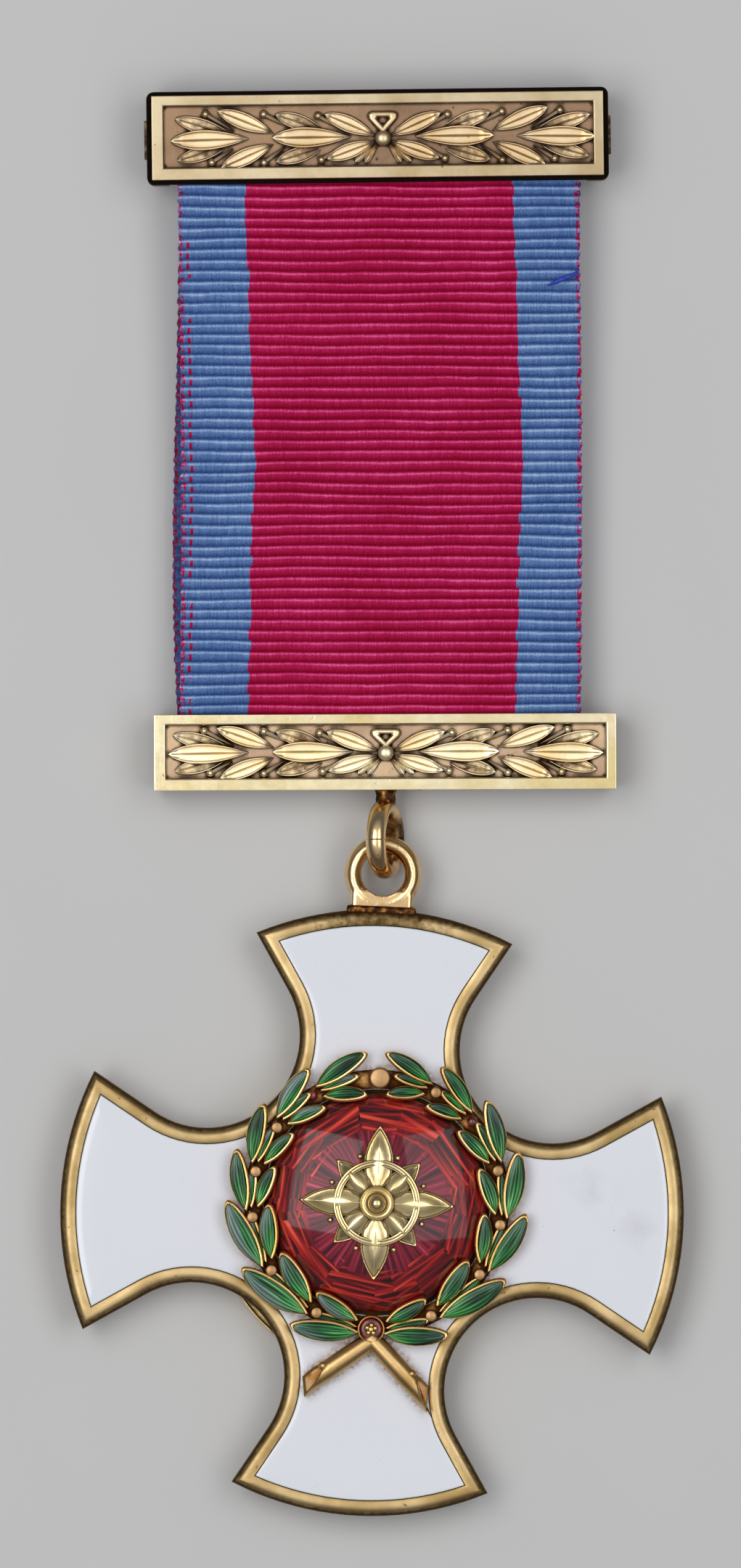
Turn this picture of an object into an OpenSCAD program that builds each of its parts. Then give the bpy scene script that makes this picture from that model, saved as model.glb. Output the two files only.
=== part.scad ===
// Order insignia lying face up: laurel brooch bar, doubled ribbon, laurel lower bar, ring, enamelled cross.
// Millimetres. X to the wearer's left as seen, Y towards the brooch bar, Z up to the face, floor at Z = 0.

/* [Whole] */
// Length from the cross's foot to the top of the brooch bar
total_h = 98.46; // [96:0.01:101]

/* [Cross] */
// Reach of the two side arms from the centre
side_reach = 21.5; // [21:0.1:22]
// Reach of the top and bottom arms from the centre
tall_reach = 20.9; // [20.5:0.1:21.4]
// Radius of the hollow between two arms
notch_r = 6.4; // [6:0.1:6.6]
// Centre of that hollow, measured sideways
notch_x = 11.93; // [11.7:0.01:12.1]
// Centre of that hollow, measured along the height
notch_y = 11.74; // [11.5:0.01:12]
// Angle at which an arm flares to its tips
flare = 31.5; // [28:0.5:34]
// Width of the rounded gold rim
rim_w = 1.1; // [0.9:0.05:1.3]
// Thickness of the cross at its rim
body_t = 2.6; // [2.2:0.1:3]
// Turn of the cross against the bars, clockwise
cross_turn = 2.6; // [0:0.1:4]
// Depth of the enamel cells
cell_d = 0.5; // [0.4:0.05:0.6]
// Thickness of the round boss at the back, on which the cross lies
boss_t = 1.6; // [1.2:0.1:1.8]
// Radius of that boss
boss_r = 10.4; // [10.2:0.1:10.9]

/* [Centre] */
// Offset of the centre sideways from the middle of the cross
centre_dx = 0.3; // [0:0.1:0.5]
// Offset of the centre upwards from the middle of the cross
centre_dy = 0.75; // [0:0.05:0.9]
// Radius of the red enamel
dome_r = 7.5; // [7:0.1:7.6]
// Rise of the red enamel from its edge to its middle
dome_h = 1.45; // [1:0.05:1.5]
// Long petal of the gilt ornament, from its middle
petal_long = 5.4; // [4:0.1:5.8]
// Short petal of the gilt ornament
petal_short = 4.1; // [3.4:0.1:4.4]
// Width of a long petal
petal_w = 2.1; // [1.6:0.1:2.4]
// Radius of the ring through the petals
petal_ring_r = 3.0; // [2.6:0.1:3.2]

/* [Wreath] */
// Radius at which the outer leaves spring
leaf_root_r = 8.95; // [8.8:0.05:9.1]
// Radius at which the outer leaves end
leaf_tip_r = 10.45; // [10.2:0.05:10.6]
// Width of an outer leaf
leaf_w = 1.75; // [1.5:0.05:1.9]
// Width of an inner leaf
inner_leaf_w = 1.35; // [1.1:0.05:1.4]
// Thickness of a leaf
leaf_t = 0.65; // [0.5:0.05:0.8]
// Gold border round the enamel of a leaf
leaf_border = 0.2; // [0.15:0.01:0.25]
// Radius of a berry
berry_r = 0.4; // [0.3:0.05:0.45]
// Radius of the berry at the wreath's top
top_berry_r = 0.72; // [0.6:0.02:0.76]
// Radius of the cup at the wreath's foot
knot_r = 1.0; // [0.9:0.05:1.1]
// Radius of a stem
stem_r = 0.7; // [0.6:0.05:0.8]

/* [Bars] */
// Width of the brooch bar's face
top_w = 31.1; // [30.8:0.1:31.4]
// Height of the brooch bar's face
top_h = 5.8; // [5.6:0.1:6]
// How far the brooch bar's skirt stands out round its face
skirt_out = 0.35; // [0.2:0.05:0.45]
// Turn of the brooch bar, anticlockwise
top_turn = 0.7; // [0:0.1:1]
// Width of the lower bar
low_w = 31.85; // [31.5:0.05:32]
// Height of the lower bar
low_h = 5.25; // [5.2:0.05:5.4]
// Turn of the lower bar, anticlockwise
low_turn = 0.25; // [0:0.05:0.5]
// Width of the raised frame round a panel
frame_w = 0.65; // [0.5:0.05:0.8]
// Height of the raised frame above its panel
frame_t = 0.4; // [0.3:0.05:0.5]
// Thickness of a bar's front plate
plate_t = 0.5; // [0.5:0.05:0.7]

/* [Ribbon] */
// Width of the ribbon
ribbon_w = 27.6; // [27:0.1:28]
// Thickness of one layer of the ribbon
cloth_t = 1.0; // [1:0.05:1.1]
// How far the ribbon sags between the bars
sag = 0.5; // [0:0.1:0.8]

/* [Ring and loop] */
// Outer radius of the jump ring
ring_r = 2.75; // [2.7:0.01:2.78]
// Thickness of the ring's wire, across the ring
ring_wire = 1.1; // [1:0.05:1.15]
// Width of the ring's wire, along its axis
ring_wide = 1.4; // [1.2:0.05:1.45]
// Turn of the ring about the badge's long line
ring_turn = 17; // [10:1:20]
// Outer radius of the cross's loop
loop_r = 2.68; // [2.6:0.01:2.75]
// Radius of the hole in the cross's loop
loop_hole_r = 1.5; // [1.45:0.01:1.6]
// Thickness of the cross's loop
loop_t = 1.8; // [1.6:0.1:2]

/* [Brooch pin] */
// Thickness of the pin
pin_d = 0.9; // [0.8:0.05:1]
// Height of the pin's joint and catch
pin_seat_h = 2.7; // [2.4:0.1:2.8]
// Room that joint and catch take behind the bar
pin_room = 1.9; // [1.8:0.1:2]

/* [Hidden] */
$fn = 48;
gap = 0.05;
gilt = "#c9a24a";
gilt_dull = "#b39558";

// Heights of the cross's layers
body_z = boss_t;
face_z = body_z + body_t;
floor_z = face_z - cell_d;
enamel_t = cell_d - 0.12;
wreath_z = face_z + gap;
ring_band_t = 0.7;
leaf_z = wreath_z + 0.6;
boss_shift = [-0.3, -0.3];
boss_rim_w = 1.5;
seat_lift = 0.03;

// Places and depths on the wreath: radius and angle from its foot
top_berry_at = [8.75, 181];
berry_ring_r = 8.6;
berry_before = 3.2;
leaf_pocket = 0.35;
knot_y = 8.7;
knot_t = 1.5;
knot_cup = 0.4;
bead_r = 0.3;

// Stems: the middle of each one's root in the knot and its direction, right and left
STEM_ROOTS = [[0.15, -9.48], [-0.15, -9.62]];
STEM_WAYS = [-44.5, 216.5];
stem_length = 6.2;
stem_cut_at = 4.85;
stem_nub_at = 3.5;

dome_z = face_z + 0.1;
dome_edge = 0.2;
peak_z = dome_z + dome_edge + dome_h;
cross_y = -total_h / 2 + tall_reach;
loop_dx = -0.3;
loop_y = 23.36;
loop_z = body_z + body_t / 2;

// Rounded rim of the cross from the front cell's floor round to the back cell's floor:
// columns are the inset from the outline and the height below the face
RIM = [[rim_w, cell_d], [rim_w, 0.12], [rim_w - 0.16, 0.02], [rim_w * 0.55, 0], [0.33, 0.09], [0.1, 0.34],
       [0, 0.75],
       [0, body_t - 0.75], [0.1, body_t - 0.34], [0.33, body_t - 0.09], [rim_w * 0.55, body_t],
       [rim_w - 0.16, body_t - 0.02], [rim_w, body_t - 0.12], [rim_w, body_t - cell_d]];

// Leaf groups up each branch: columns are a group's first angle from the wreath's foot and its length,
// in degrees
GROUPS = [[5, 27], [30.5, 31], [58, 30], [85, 25.5], [109, 24], [132.5, 22.5], [154.5, 21]];

// Sprigs of a bar's relief: columns are where the leaf pair springs, where it ends, where the long leaf
// springs and where it ends, all as distances from the bar's middle
SPRIGS = [[0.5, 3.65, 1.9, 6.95], [7.05, 11.05, 9.5, 14.2]];

// Ribbon and bars, from the back of the ribbon forwards
rod_t = 0.5;
rod_w = 1.9;
loop_in = rod_t + 2 * gap;
band_t = 2 * cloth_t + loop_in;
top_z = pin_room + gap;
low_z = 1.0;
skirt_w = top_w + 2 * skirt_out;
skirt_h = top_h + 2 * skirt_out - 0.1;
top_relief_at = [0.37, -0.17];
low_relief_at = [0.05, -0.06];
top_pos = [0.38, total_h / 2 - skirt_h / 2 * cos(top_turn) - skirt_w / 2 * sin(top_turn)];
low_pos = [0.9, 3.43];
wall = 0.6;
slot_w = ribbon_w + 1.1;
slack = 0.25;
ribbon_x = 0.55;
top_rod_y = top_pos[1] - 0.55;
low_rod_y = low_pos[1] + 0.6;
top_band_z = top_z + gap;
low_band_z = low_z + gap;
ring_pos = [0.89, -2.575, 2.8];

function dir(a) = [cos(a), sin(a)];

// Outline of the cross, drawn in by the inset d: a quarter runs from the right arm's middle to the top arm's
function root_of(p, f, r) = -p * f + sqrt((p * f) * (p * f) - p * p + r * r);
function tip_at(p, f, r) = p + f * root_of(p, f, r);
function on_notch(d, a) = [notch_x, notch_y] + (notch_r + d) * dir(a);
function side_tip(d) = tip_at(on_notch(d, flare - 90), dir(flare), side_reach - d);
function tall_tip(d) = tip_at(on_notch(d, 180 - flare), dir(90 - flare), tall_reach - d);
function end_arc(r, from, to, n) = [for (i = [0:n]) r * dir(from + (to - from) * i / n)];
function quarter(d) = concat(
    end_arc(side_reach - d, 0, atan2(side_tip(d)[1], side_tip(d)[0]), 5),
    [for (i = [0:14]) on_notch(d, flare - 90 - (2 * flare + 90) * i / 14)],
    end_arc(tall_reach - d, atan2(tall_tip(d)[1], tall_tip(d)[0]), 90, 5));
function outline(d) = let (q = quarter(d), n = len(q) - 1) concat(
    q,
    [for (i = [n - 1:-1:0]) [-q[i][0], q[i][1]]],
    [for (i = [1:n]) -q[i]],
    [for (i = [n - 1:-1:1]) [q[i][0], -q[i][1]]]);

// Solid skin through rings of cross outlines, closed by its first and last ring
module skin(rings) {
    n = len(rings[0]);
    last = len(rings) - 1;
    points = [for (r = rings) each r];
    sides = [for (k = [0:last - 1], i = [0:n - 1])
        [k * n + i, k * n + (i + 1) % n, (k + 1) * n + (i + 1) % n, (k + 1) * n + i]];
    first_cap = [for (face = cap(n)) [for (i = [len(face) - 1:-1:0]) face[i]]];
    last_cap = [for (face = cap(n)) [for (i = face) last * n + i]];
    polyhedron(points = points, faces = concat(sides, first_cap, last_cap), convexity = 8);
}

// Flat faces that fill a cross outline of n points: strips across each arm and a middle between the hollows
function cap(n) = let (q = n / 4, deep = q / 2) concat(
    [for (arm = [0:3], j = [0:deep - 1]) let (m = arm * q)
        j == 0 ? [(m - 1 + n) % n, m, m + 1]
               : [(m - j - 1 + n) % n, (m - j + n) % n, (m + j) % n, (m + j + 1) % n]],
    [[for (arm = [0:3]) arm * q + deep]]);

// Leaf shape between two points, the overlap of two round discs, with its border drawn in
module leaf(from, to, width, inset = 0) {
    run = to - from;
    length = norm(run);
    half = width / 2;
    r = (length * length / 4 + half * half) / (2 * half);
    translate((from + to) / 2) rotate(atan2(run[1], run[0])) intersection() {
        translate([0, r - half]) circle(r - inset, $fn = 96);
        translate([0, half - r]) circle(r - inset, $fn = 96);
    }
}

module in_cross() {
    translate([0, cross_y]) rotate(-cross_turn) children();
}

module in_centre() {
    in_cross() translate([centre_dx, centre_dy]) children();
}

// Point of the wreath at an angle from its foot, up the right branch for side 1 and the left for side -1
function wreath_pt(side, r, a) = [side * r * sin(a), -r * cos(a)];
function outer_from(side, g) = wreath_pt(side, leaf_root_r, g[0]);
function outer_to(side, g) = wreath_pt(side, leaf_tip_r, g[0] + g[1]);
function inner_from(side, g) = wreath_pt(side, leaf_root_r - 0.7, g[0] + 1.5);
function inner_to(side, g) = wreath_pt(side, dome_r + 0.02, g[0] + g[1] - 0.5);

// Gold of the cross
module cross_loop() {
    thick = loop_r - loop_hole_r;
    translate([loop_dx, loop_y, loop_z]) rotate_extrude($fn = 64)
        translate([loop_hole_r + thick / 2, 0]) rounded(thick, loop_t, thick / 2 - 0.05);
}

// Rectangle with round corners, about its middle
module rounded(w, h, r) {
    square([w - 2 * r, h], center = true);
    square([w, h - 2 * r], center = true);
    for (i = [-1, 1], j = [-1, 1]) translate([i * (w / 2 - r), j * (h / 2 - r)]) circle(r, $fn = 32);
}

module loop_foot() {
    foot = [4.3, loop_y - loop_hole_r - tall_reach + 0.3, 1.7];
    plate = [5, 0.65, 2.1];
    translate([loop_dx, tall_reach - 0.3, loop_z]) {
        difference() {
            translate([-foot[0] / 2, 0, -foot[2] / 2]) cube(foot);
            translate([0, foot[1] + loop_hole_r, -2]) cylinder(h = 4, r = loop_hole_r + 0.35);
        }
        translate([-plate[0] / 2, 0, -plate[2] / 2]) cube(plate);
    }
}

module cross_body() {
    color(gilt) in_cross() {
        skin([for (r = RIM) [for (p = outline(r[0])) [p[0], p[1], face_z - r[1]]]]);
        cross_loop();
        loop_foot();
        translate([centre_dx, centre_dy, floor_z - 0.2])
            cylinder(h = dome_z - gap - floor_z + 0.2, r = dome_r, $fn = 96);
        translate(boss_shift) back_boss();
    }
}

// Round boss behind the cross, with a sunk face inside its rim
module back_boss() {
    sunk_face = 0.35;
    difference() {
        cylinder(h = body_z + cell_d + 0.2, r = boss_r, $fn = 96);
        translate([0, 0, sunk_face - 1]) cylinder(h = 1, r = boss_r - boss_rim_w, $fn = 96);
    }
}

module cell_enamel(z) {
    translate([0, 0, z]) linear_extrude(enamel_t) polygon(outline(rim_w + gap));
}

module front_enamel() {
    color("#e8ecf2") in_cross() difference() {
        cell_enamel(floor_z + seat_lift);
        translate([centre_dx, centre_dy, 0]) cylinder(h = 10, r = dome_r + 0.2, $fn = 96);
    }
}

module back_enamel() {
    color("#e8ecf2") in_cross() difference() {
        cell_enamel(body_z + cell_d - seat_lift - enamel_t);
        translate([boss_shift[0], boss_shift[1], -1]) cylinder(h = 10, r = boss_r + 0.1, $fn = 96);
    }
}

// Both leaves of every group on one branch, seen from above, with their borders drawn in
module branch_leaves(side, inset = 0) {
    for (g = GROUPS) {
        leaf(outer_from(side, g), outer_to(side, g), leaf_w, inset);
        leaf(inner_from(side, g), inner_to(side, g), inner_leaf_w, inset);
    }
}

module berry(side, r, a, size) {
    translate(wreath_pt(side, r, a)) translate([0, 0, wreath_z + 0.3])
        cylinder(h = leaf_t + 0.6, r = size, $fn = 24);
}

// Cut stem that slopes out from the knot, its end cut aslant
module stem(side) {
    number = side > 0 ? 0 : 1;
    root = STEM_ROOTS[number];
    translate([root[0], root[1], wreath_z + gap + stem_r]) rotate([0, 0, STEM_WAYS[number]]) difference() {
        union() {
            rotate([0, 90, 0]) cylinder(h = stem_length, r = stem_r, $fn = 32);
            translate([stem_nub_at, side * 0.4, 0.3]) sphere(0.42, $fn = 24);
        }
        translate([stem_cut_at, 0, 0]) rotate([0, 0, side * 44]) rotate([0, -44, 0])
            translate([0, -5, -5]) cube(10);
    }
}

module wreath() {
    color(gilt) in_centre() {
        difference() {
            union() {
                wreath_ring();
                for (side = [-1, 1]) {
                    translate([0, 0, leaf_z]) linear_extrude(leaf_t) branch_leaves(side);
                    for (i = [1:6]) berry(side, berry_ring_r, GROUPS[i][0] - berry_before, berry_r);
                    stem(side);
                }
                berry(1, top_berry_at[0], top_berry_at[1], top_berry_r);
                translate([0, -knot_y, wreath_z]) cylinder(h = knot_t, r = knot_r, $fn = 32);
            }
            for (side = [-1, 1]) leaf_pockets(side);
            translate([0, -knot_y, wreath_z + knot_t - knot_cup]) cylinder(h = 2, r = knot_r - 0.2, $fn = 32);
        }
        translate([0, -knot_y, wreath_z + knot_t - knot_cup - 0.1]) cylinder(h = 0.65, r = bead_r, $fn = 24);
    }
}

// Pockets for the enamel of one branch, kept clear of the knot and the top berry
module leaf_pockets(side) {
    translate([0, 0, leaf_z + leaf_t - leaf_pocket]) linear_extrude(1) difference() {
        branch_leaves(side, leaf_border);
        translate([0, -knot_y]) circle(knot_r, $fn = 32);
        translate(wreath_pt(1, top_berry_at[0], top_berry_at[1])) circle(top_berry_r, $fn = 24);
    }
}

module wreath_ring() {
    difference() {
        translate([0, 0, wreath_z]) cylinder(h = ring_band_t, r = leaf_root_r + 0.1, $fn = 96);
        cylinder(h = 10, r = dome_r + 0.3, $fn = 96);
    }
}

// Ring of red enamel in the cup at the wreath's foot, round a gold bead
module knot_enamel() {
    color("#8e1015") in_centre() translate([0, -knot_y, wreath_z + knot_t - knot_cup + gap]) difference() {
        cylinder(h = knot_cup - 0.1, r = knot_r - 0.2 - gap, $fn = 32);
        translate([0, 0, -1]) cylinder(h = 3, r = bead_r + gap, $fn = 24);
    }
}

module wreath_enamel(side) {
    color("#1f6b3a") in_centre() translate([0, 0, leaf_z + leaf_t - leaf_pocket + 0.04])
        linear_extrude(leaf_pocket - 0.08) branch_leaves(side, leaf_border + gap);
}

// Red enamel: a shallow dome on a thin straight edge
module dome(grow = 0) {
    r = (dome_r * dome_r + dome_h * dome_h) / (2 * dome_h);
    translate([0, 0, peak_z - r]) sphere(r + grow, $fn = 128);
}

module red_centre() {
    color("#a3141c") in_centre() intersection() {
        dome();
        translate([0, 0, dome_z]) cylinder(h = 4, r = dome_r, $fn = 96);
    }
}

// Gilt rosette that follows the dome: four long petals, four short ones, a ring through them and a bead
module centre_ornament() {
    color(gilt) in_centre() difference() {
        union() {
            for (i = [0:7]) {
                long = i % 2 == 0;
                reach = long ? petal_long : petal_short;
                width = long ? petal_w : petal_w * 0.8;
                translate([0, 0, peak_z - 0.95]) linear_extrude(long ? 1.5 : 1.4)
                    leaf([0, 0], reach * dir(45 * i + 90), width);
            }
            translate([0, 0, peak_z - 0.5]) difference() {
                cylinder(h = 0.9, r = petal_ring_r, $fn = 64);
                translate([0, 0, -1]) cylinder(h = 3, r = petal_ring_r - 0.5, $fn = 64);
            }
            translate([0, 0, peak_z - 0.5]) cylinder(h = 1.3, r = 1.2, $fn = 32);
            translate([0, 0, peak_z + 0.7]) sphere(0.8, $fn = 24);
        }
        dome(gap);
    }
}

// Relief of a bar: two sprigs of laurel out from a knotted band, raised from the panel
module relief(z, scale_x) {
    tip_y = 1.62;
    for (side = [0, 1]) mirror([side, 0, 0]) {
        for (s = SPRIGS) for (v = [-1, 1]) {
            raised(z, 0.3) leaf([s[0], 0.05 * v] * scale_x, [s[1] * scale_x, tip_y * v], 1.3);
            raised(z, 0.24) leaf([s[3] * scale_x - 3.1, 0.35 * v], [s[3] * scale_x - 0.05, 1.5 * v], 1.05);
            translate([s[1] * scale_x + 0.75, 1.55 * v, z]) cylinder(h = 0.3, r = 0.26, $fn = 16);
        }
        for (s = SPRIGS) raised(z, 0.36) leaf([s[2] * scale_x, 0], [s[3] * scale_x, 0], 1.6);
        raised(z, 0.22) leaf([0.1, 0], [1.9, -1.75], 0.45);
        raised(z, 0.22) leaf([0.1, 0], [1.1, 1.75], 0.5);
    }
    translate([0, 0, z]) cylinder(h = 0.45, r = 0.55, $fn = 24);
}

module raised(z, h) {
    translate([0, 0, z - 0.1]) linear_extrude(h + 0.1) children();
}

// Bar with its frame, panel, relief, two end walls, one closed long side and the flat rod for the ribbon
module bar(w, h, closed, rod_dy, relief_at) {
    plate_z = 2 * gap + band_t;
    translate([-w / 2, -h / 2, plate_z]) cube([w, h, plate_t]);
    difference() {
        translate([-w / 2, -h / 2, plate_z]) cube([w, h, plate_t + frame_t]);
        translate([-w / 2 + frame_w, -h / 2 + frame_w, 0]) cube([w - 2 * frame_w, h - 2 * frame_w, 20]);
    }
    translate(relief_at) relief(plate_z + plate_t, (w / 2 - frame_w) / 14.85);
    end_w = (w - slot_w) / 2;
    for (s = [-1, 1]) translate([s * (w - end_w) / 2, 0, plate_z / 2])
        cube([end_w, h, plate_z + 0.02], center = true);
    translate([-w / 2, closed > 0 ? h / 2 - wall : -h / 2, 0]) cube([w, wall, plate_z + 0.01]);
    translate([-w / 2 + 0.3, rod_dy - rod_w / 2, gap + cloth_t + gap]) cube([w - 0.6, rod_w, rod_t]);
}

// Brooch bar: the face stands on a wider skirt, open below for the ribbon
module top_bar() {
    plate_z = 2 * gap + band_t;
    color(gilt_dull) translate([top_pos[0], top_pos[1], top_z]) rotate(top_turn) {
        bar(top_w, top_h, 1, top_rod_y - top_pos[1], top_relief_at);
        difference() {
            translate([-skirt_w / 2, -skirt_h / 2, 0]) cube([skirt_w, skirt_h, plate_z + 0.3]);
            translate([-slot_w / 2, -skirt_h, -1]) cube([slot_w, skirt_h * 1.5 - wall, plate_z + 1]);
        }
    }
}

// Jump ring on its solder neck under the lower bar
module jump_ring() {
    ring_top = ring_pos[1] + ring_r;
    translate(ring_pos) rotate([0, -ring_turn, 0]) rotate([0, 90, 0]) rotate_extrude($fn = 64)
        translate([ring_r - ring_wire / 2, 0]) rounded(ring_wire, ring_wide, 0.4);
    translate([ring_pos[0] + 0.05, ring_top - 0.35, ring_pos[2]]) rotate([-90, 0, 0])
        cylinder(h = low_pos[1] - low_h / 2 - ring_top + 0.55, r = 0.68, $fn = 32);
}

module bottom_bar() {
    color(gilt) {
        translate([low_pos[0], low_pos[1], low_z]) rotate(low_turn)
            bar(low_w, low_h, -1, low_rod_y - low_pos[1], low_relief_at);
        jump_ring();
    }
}

// Ribbon: a closed band seen from its edge, level inside the bars, its layers drawn together between them
steps = 16;
function free_part(t) = min(max((t - 0.08) / 0.84, 0), 1);
function band_mid(t) = let (s = free_part(t))
    low_band_z + band_t / 2 + (top_band_z - low_band_z) * s - sag * sin(180 * s);
function band_half(t, grow) = grow + loop_in / 2 * (0.4 + 0.6 * pow(abs(2 * free_part(t) - 1), 3));
function band_y(t) = low_rod_y - rod_w / 2 - slack + (top_rod_y - low_rod_y + rod_w + 2 * slack) * t;
function band_end(t, grow, from) = [for (i = [1:5])
    [band_y(t), band_mid(t)] + (grow + loop_in / 2) * dir(from + 180 * i / 6)];
function band_edge(grow) = concat(
    [for (i = [0:steps]) let (t = i / steps) [band_y(t), band_mid(t) - band_half(t, grow)]],
    band_end(1, grow, -90),
    [for (i = [steps:-1:0]) let (t = i / steps) [band_y(t), band_mid(t) + band_half(t, grow)]],
    band_end(0, grow, 90));

module ribbon() {
    color("#a01345") translate([ribbon_x, 0, 0]) rotate([90, 0, 90])
        translate([0, 0, -ribbon_w / 2]) linear_extrude(ribbon_w) difference() {
            polygon(band_edge(cloth_t));
            polygon(band_edge(0));
        }
}

// Joint, pin and catch in one piece behind the brooch bar
module brooch_pin() {
    seat_w = 2.6;
    reach = skirt_w / 2 + 0.2;
    plate = 0.6;
    knuckle_r = 0.75;
    color(gilt_dull) translate([top_pos[0], top_pos[1], 0]) rotate(top_turn) {
        for (s = [-1, 1]) translate([s * (reach - seat_w / 2), 0, 0]) {
            translate([-seat_w / 2, -pin_seat_h / 2, pin_room - plate]) cube([seat_w, pin_seat_h, plate]);
            translate([0, 0, pin_room / 2 - 0.15]) cube([1.2, pin_seat_h, pin_room - 0.7], center = true);
            translate([0, pin_seat_h / 2, knuckle_r]) rotate([90, 0, 0])
                cylinder(h = pin_seat_h, r = knuckle_r, $fn = 32);
        }
        translate([-reach + seat_w / 2, 0, knuckle_r]) rotate([0, 90, 0])
            cylinder(h = 2 * reach - seat_w, r = pin_d / 2);
    }
}

top_bar();
brooch_pin();
ribbon();
bottom_bar();
cross_body();
front_enamel();
back_enamel();
wreath();
wreath_enamel(-1);  // wreath_enamel_left
wreath_enamel(1);  // wreath_enamel_right
red_centre();
centre_ornament();
knot_enamel();
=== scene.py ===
"""Order insignia lying face up: a gilt and enamelled cross on a doubled ribbon between two laurel bars.

Pieces are modelled in millimetres about their own middle, and brought to the frame's metres when finished.
"""

import math

import bmesh
import bpy
from mathutils import Matrix, Vector, noise


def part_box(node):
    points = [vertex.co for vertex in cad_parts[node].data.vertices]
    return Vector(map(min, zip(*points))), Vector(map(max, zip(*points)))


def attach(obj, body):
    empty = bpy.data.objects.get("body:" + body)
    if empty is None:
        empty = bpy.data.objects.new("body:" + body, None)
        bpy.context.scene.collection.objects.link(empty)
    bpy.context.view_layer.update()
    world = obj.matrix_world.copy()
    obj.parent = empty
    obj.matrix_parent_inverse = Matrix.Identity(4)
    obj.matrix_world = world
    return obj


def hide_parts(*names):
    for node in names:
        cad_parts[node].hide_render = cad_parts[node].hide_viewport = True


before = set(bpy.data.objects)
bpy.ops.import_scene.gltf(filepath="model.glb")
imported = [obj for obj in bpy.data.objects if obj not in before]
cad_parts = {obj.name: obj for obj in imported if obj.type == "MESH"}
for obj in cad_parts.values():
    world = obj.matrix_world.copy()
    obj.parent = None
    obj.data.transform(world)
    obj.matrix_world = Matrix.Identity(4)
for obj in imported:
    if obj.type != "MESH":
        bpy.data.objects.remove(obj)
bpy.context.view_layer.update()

MM = 0.001


# Frame: places of the bars, the cross and its centre, in millimetres


def middle(node):
    low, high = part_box(node)
    return (low + high) / 2 / MM


def way(degrees):
    return Vector((math.cos(math.radians(degrees)), math.sin(math.radians(degrees))))


def at(x, y, z=0.0):
    return Matrix.Translation((x, y, z))


def spun(degrees, axis="Z"):
    return Matrix.Rotation(math.radians(degrees), 4, axis)


def turned(place, degrees):
    return Matrix.Translation(place) @ spun(degrees)


CROSS_TURN = -2.6
TOP_TURN = 0.7
LOW_TURN = 0.25
CENTRE_AT = Vector((middle("red_centre").x, middle("red_centre").y, 0))
TOP_AT = Vector((0.38, 45.836, 1.95))
LOW_AT = Vector((0.9, 3.43, 1.0))
cross_frame = turned((middle("front_enamel").x, middle("front_enamel").y, 0), CROSS_TURN)
centre_frame = turned(CENTRE_AT, CROSS_TURN)
top_frame = turned(TOP_AT, TOP_TURN)
low_frame = turned(LOW_AT, LOW_TURN)

# Heights of the cross's layers, from the table up
BODY_Z = 1.6
BODY_T = 2.6
FACE_Z = BODY_Z + BODY_T
CELL_D = 0.5
WREATH_Z = FACE_Z + 0.05
LEAF_Z = WREATH_Z + 0.6
DOME_Z = FACE_Z + 0.1
DOME_R = 7.5
DOME_H = 1.45
PEAK_Z = DOME_Z + 0.2 + DOME_H
DOME_CURVE = (DOME_R**2 + DOME_H**2) / (2 * DOME_H)
# The two stems, from the wreath's middle: where each leaves the knot, and its direction
STEMS = {1: (Vector((0.15, -9.48)), -44.5), -1: (Vector((-0.15, -9.62)), 216.5)}


# Modelling by hand: small steps that every piece shares


def deselect():
    bpy.ops.object.select_all(action="DESELECT")


def select_all():
    bpy.ops.mesh.select_all(action="SELECT")


def add(kind, **settings):
    """A new primitive, alone in the selection."""
    deselect()
    getattr(bpy.ops.mesh, f"primitive_{kind}_add")(**settings)
    return bpy.context.object


def focus(piece, mode="EDIT"):
    if bpy.context.mode != "OBJECT":
        leave()
    deselect()
    piece.select_set(True)
    bpy.context.view_layer.objects.active = piece
    if mode == "EDIT":
        bpy.ops.object.mode_set(mode="EDIT")


def leave():
    bpy.ops.object.mode_set(mode="OBJECT")


def pick(kind, test):
    """Selects what passes the test by its middle: vertices, edges or faces, whose normal is given too."""
    data = bpy.context.edit_object.data
    mesh = bmesh.from_edit_mesh(data)
    bpy.ops.mesh.select_mode(type=kind)
    bpy.ops.mesh.select_all(action="DESELECT")
    if kind == "VERT":
        for vertex in mesh.verts:
            vertex.select = test(vertex.co)
    elif kind == "EDGE":
        for edge in mesh.edges:
            edge.select = test((edge.verts[0].co + edge.verts[1].co) / 2)
    else:
        for face in mesh.faces:
            face.select = test(face.calc_center_median(), face.normal)
    mesh.select_flush_mode()
    bmesh.update_edit_mesh(data)


def shift(x=0.0, y=0.0, z=0.0):
    bpy.ops.transform.translate(value=(x, y, z))


def scale(x, y, z, about=(0, 0, 0)):
    bpy.ops.transform.resize(value=(x, y, z), center_override=about)


def extrude(z):
    bpy.ops.mesh.extrude_region_move(TRANSFORM_OT_translate={"value": (0, 0, z)})


def modify(piece, kind, **settings):
    """Adds a modifier and applies it."""
    focus(piece, "OBJECT")
    modifier = piece.modifiers.new(kind.lower(), kind)
    for name, value in settings.items():
        setattr(modifier, name, value)
    bpy.ops.object.modifier_apply(modifier=modifier.name)
    return piece


def soften(piece, width, segments=2, angle=40):
    limit = math.radians(angle)
    modify(piece, "BEVEL", width=width, segments=segments, limit_method="ANGLE", angle_limit=limit)
    return flat(piece)


def flat(piece):
    """Marks a piece whose faces stay level up to their soft edges, when it is shaded smooth."""
    marked = piece.vertex_groups.get("flat") or piece.vertex_groups.new(name="flat")
    marked.add(range(len(piece.data.vertices)), 1.0, "REPLACE")
    return piece


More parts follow.
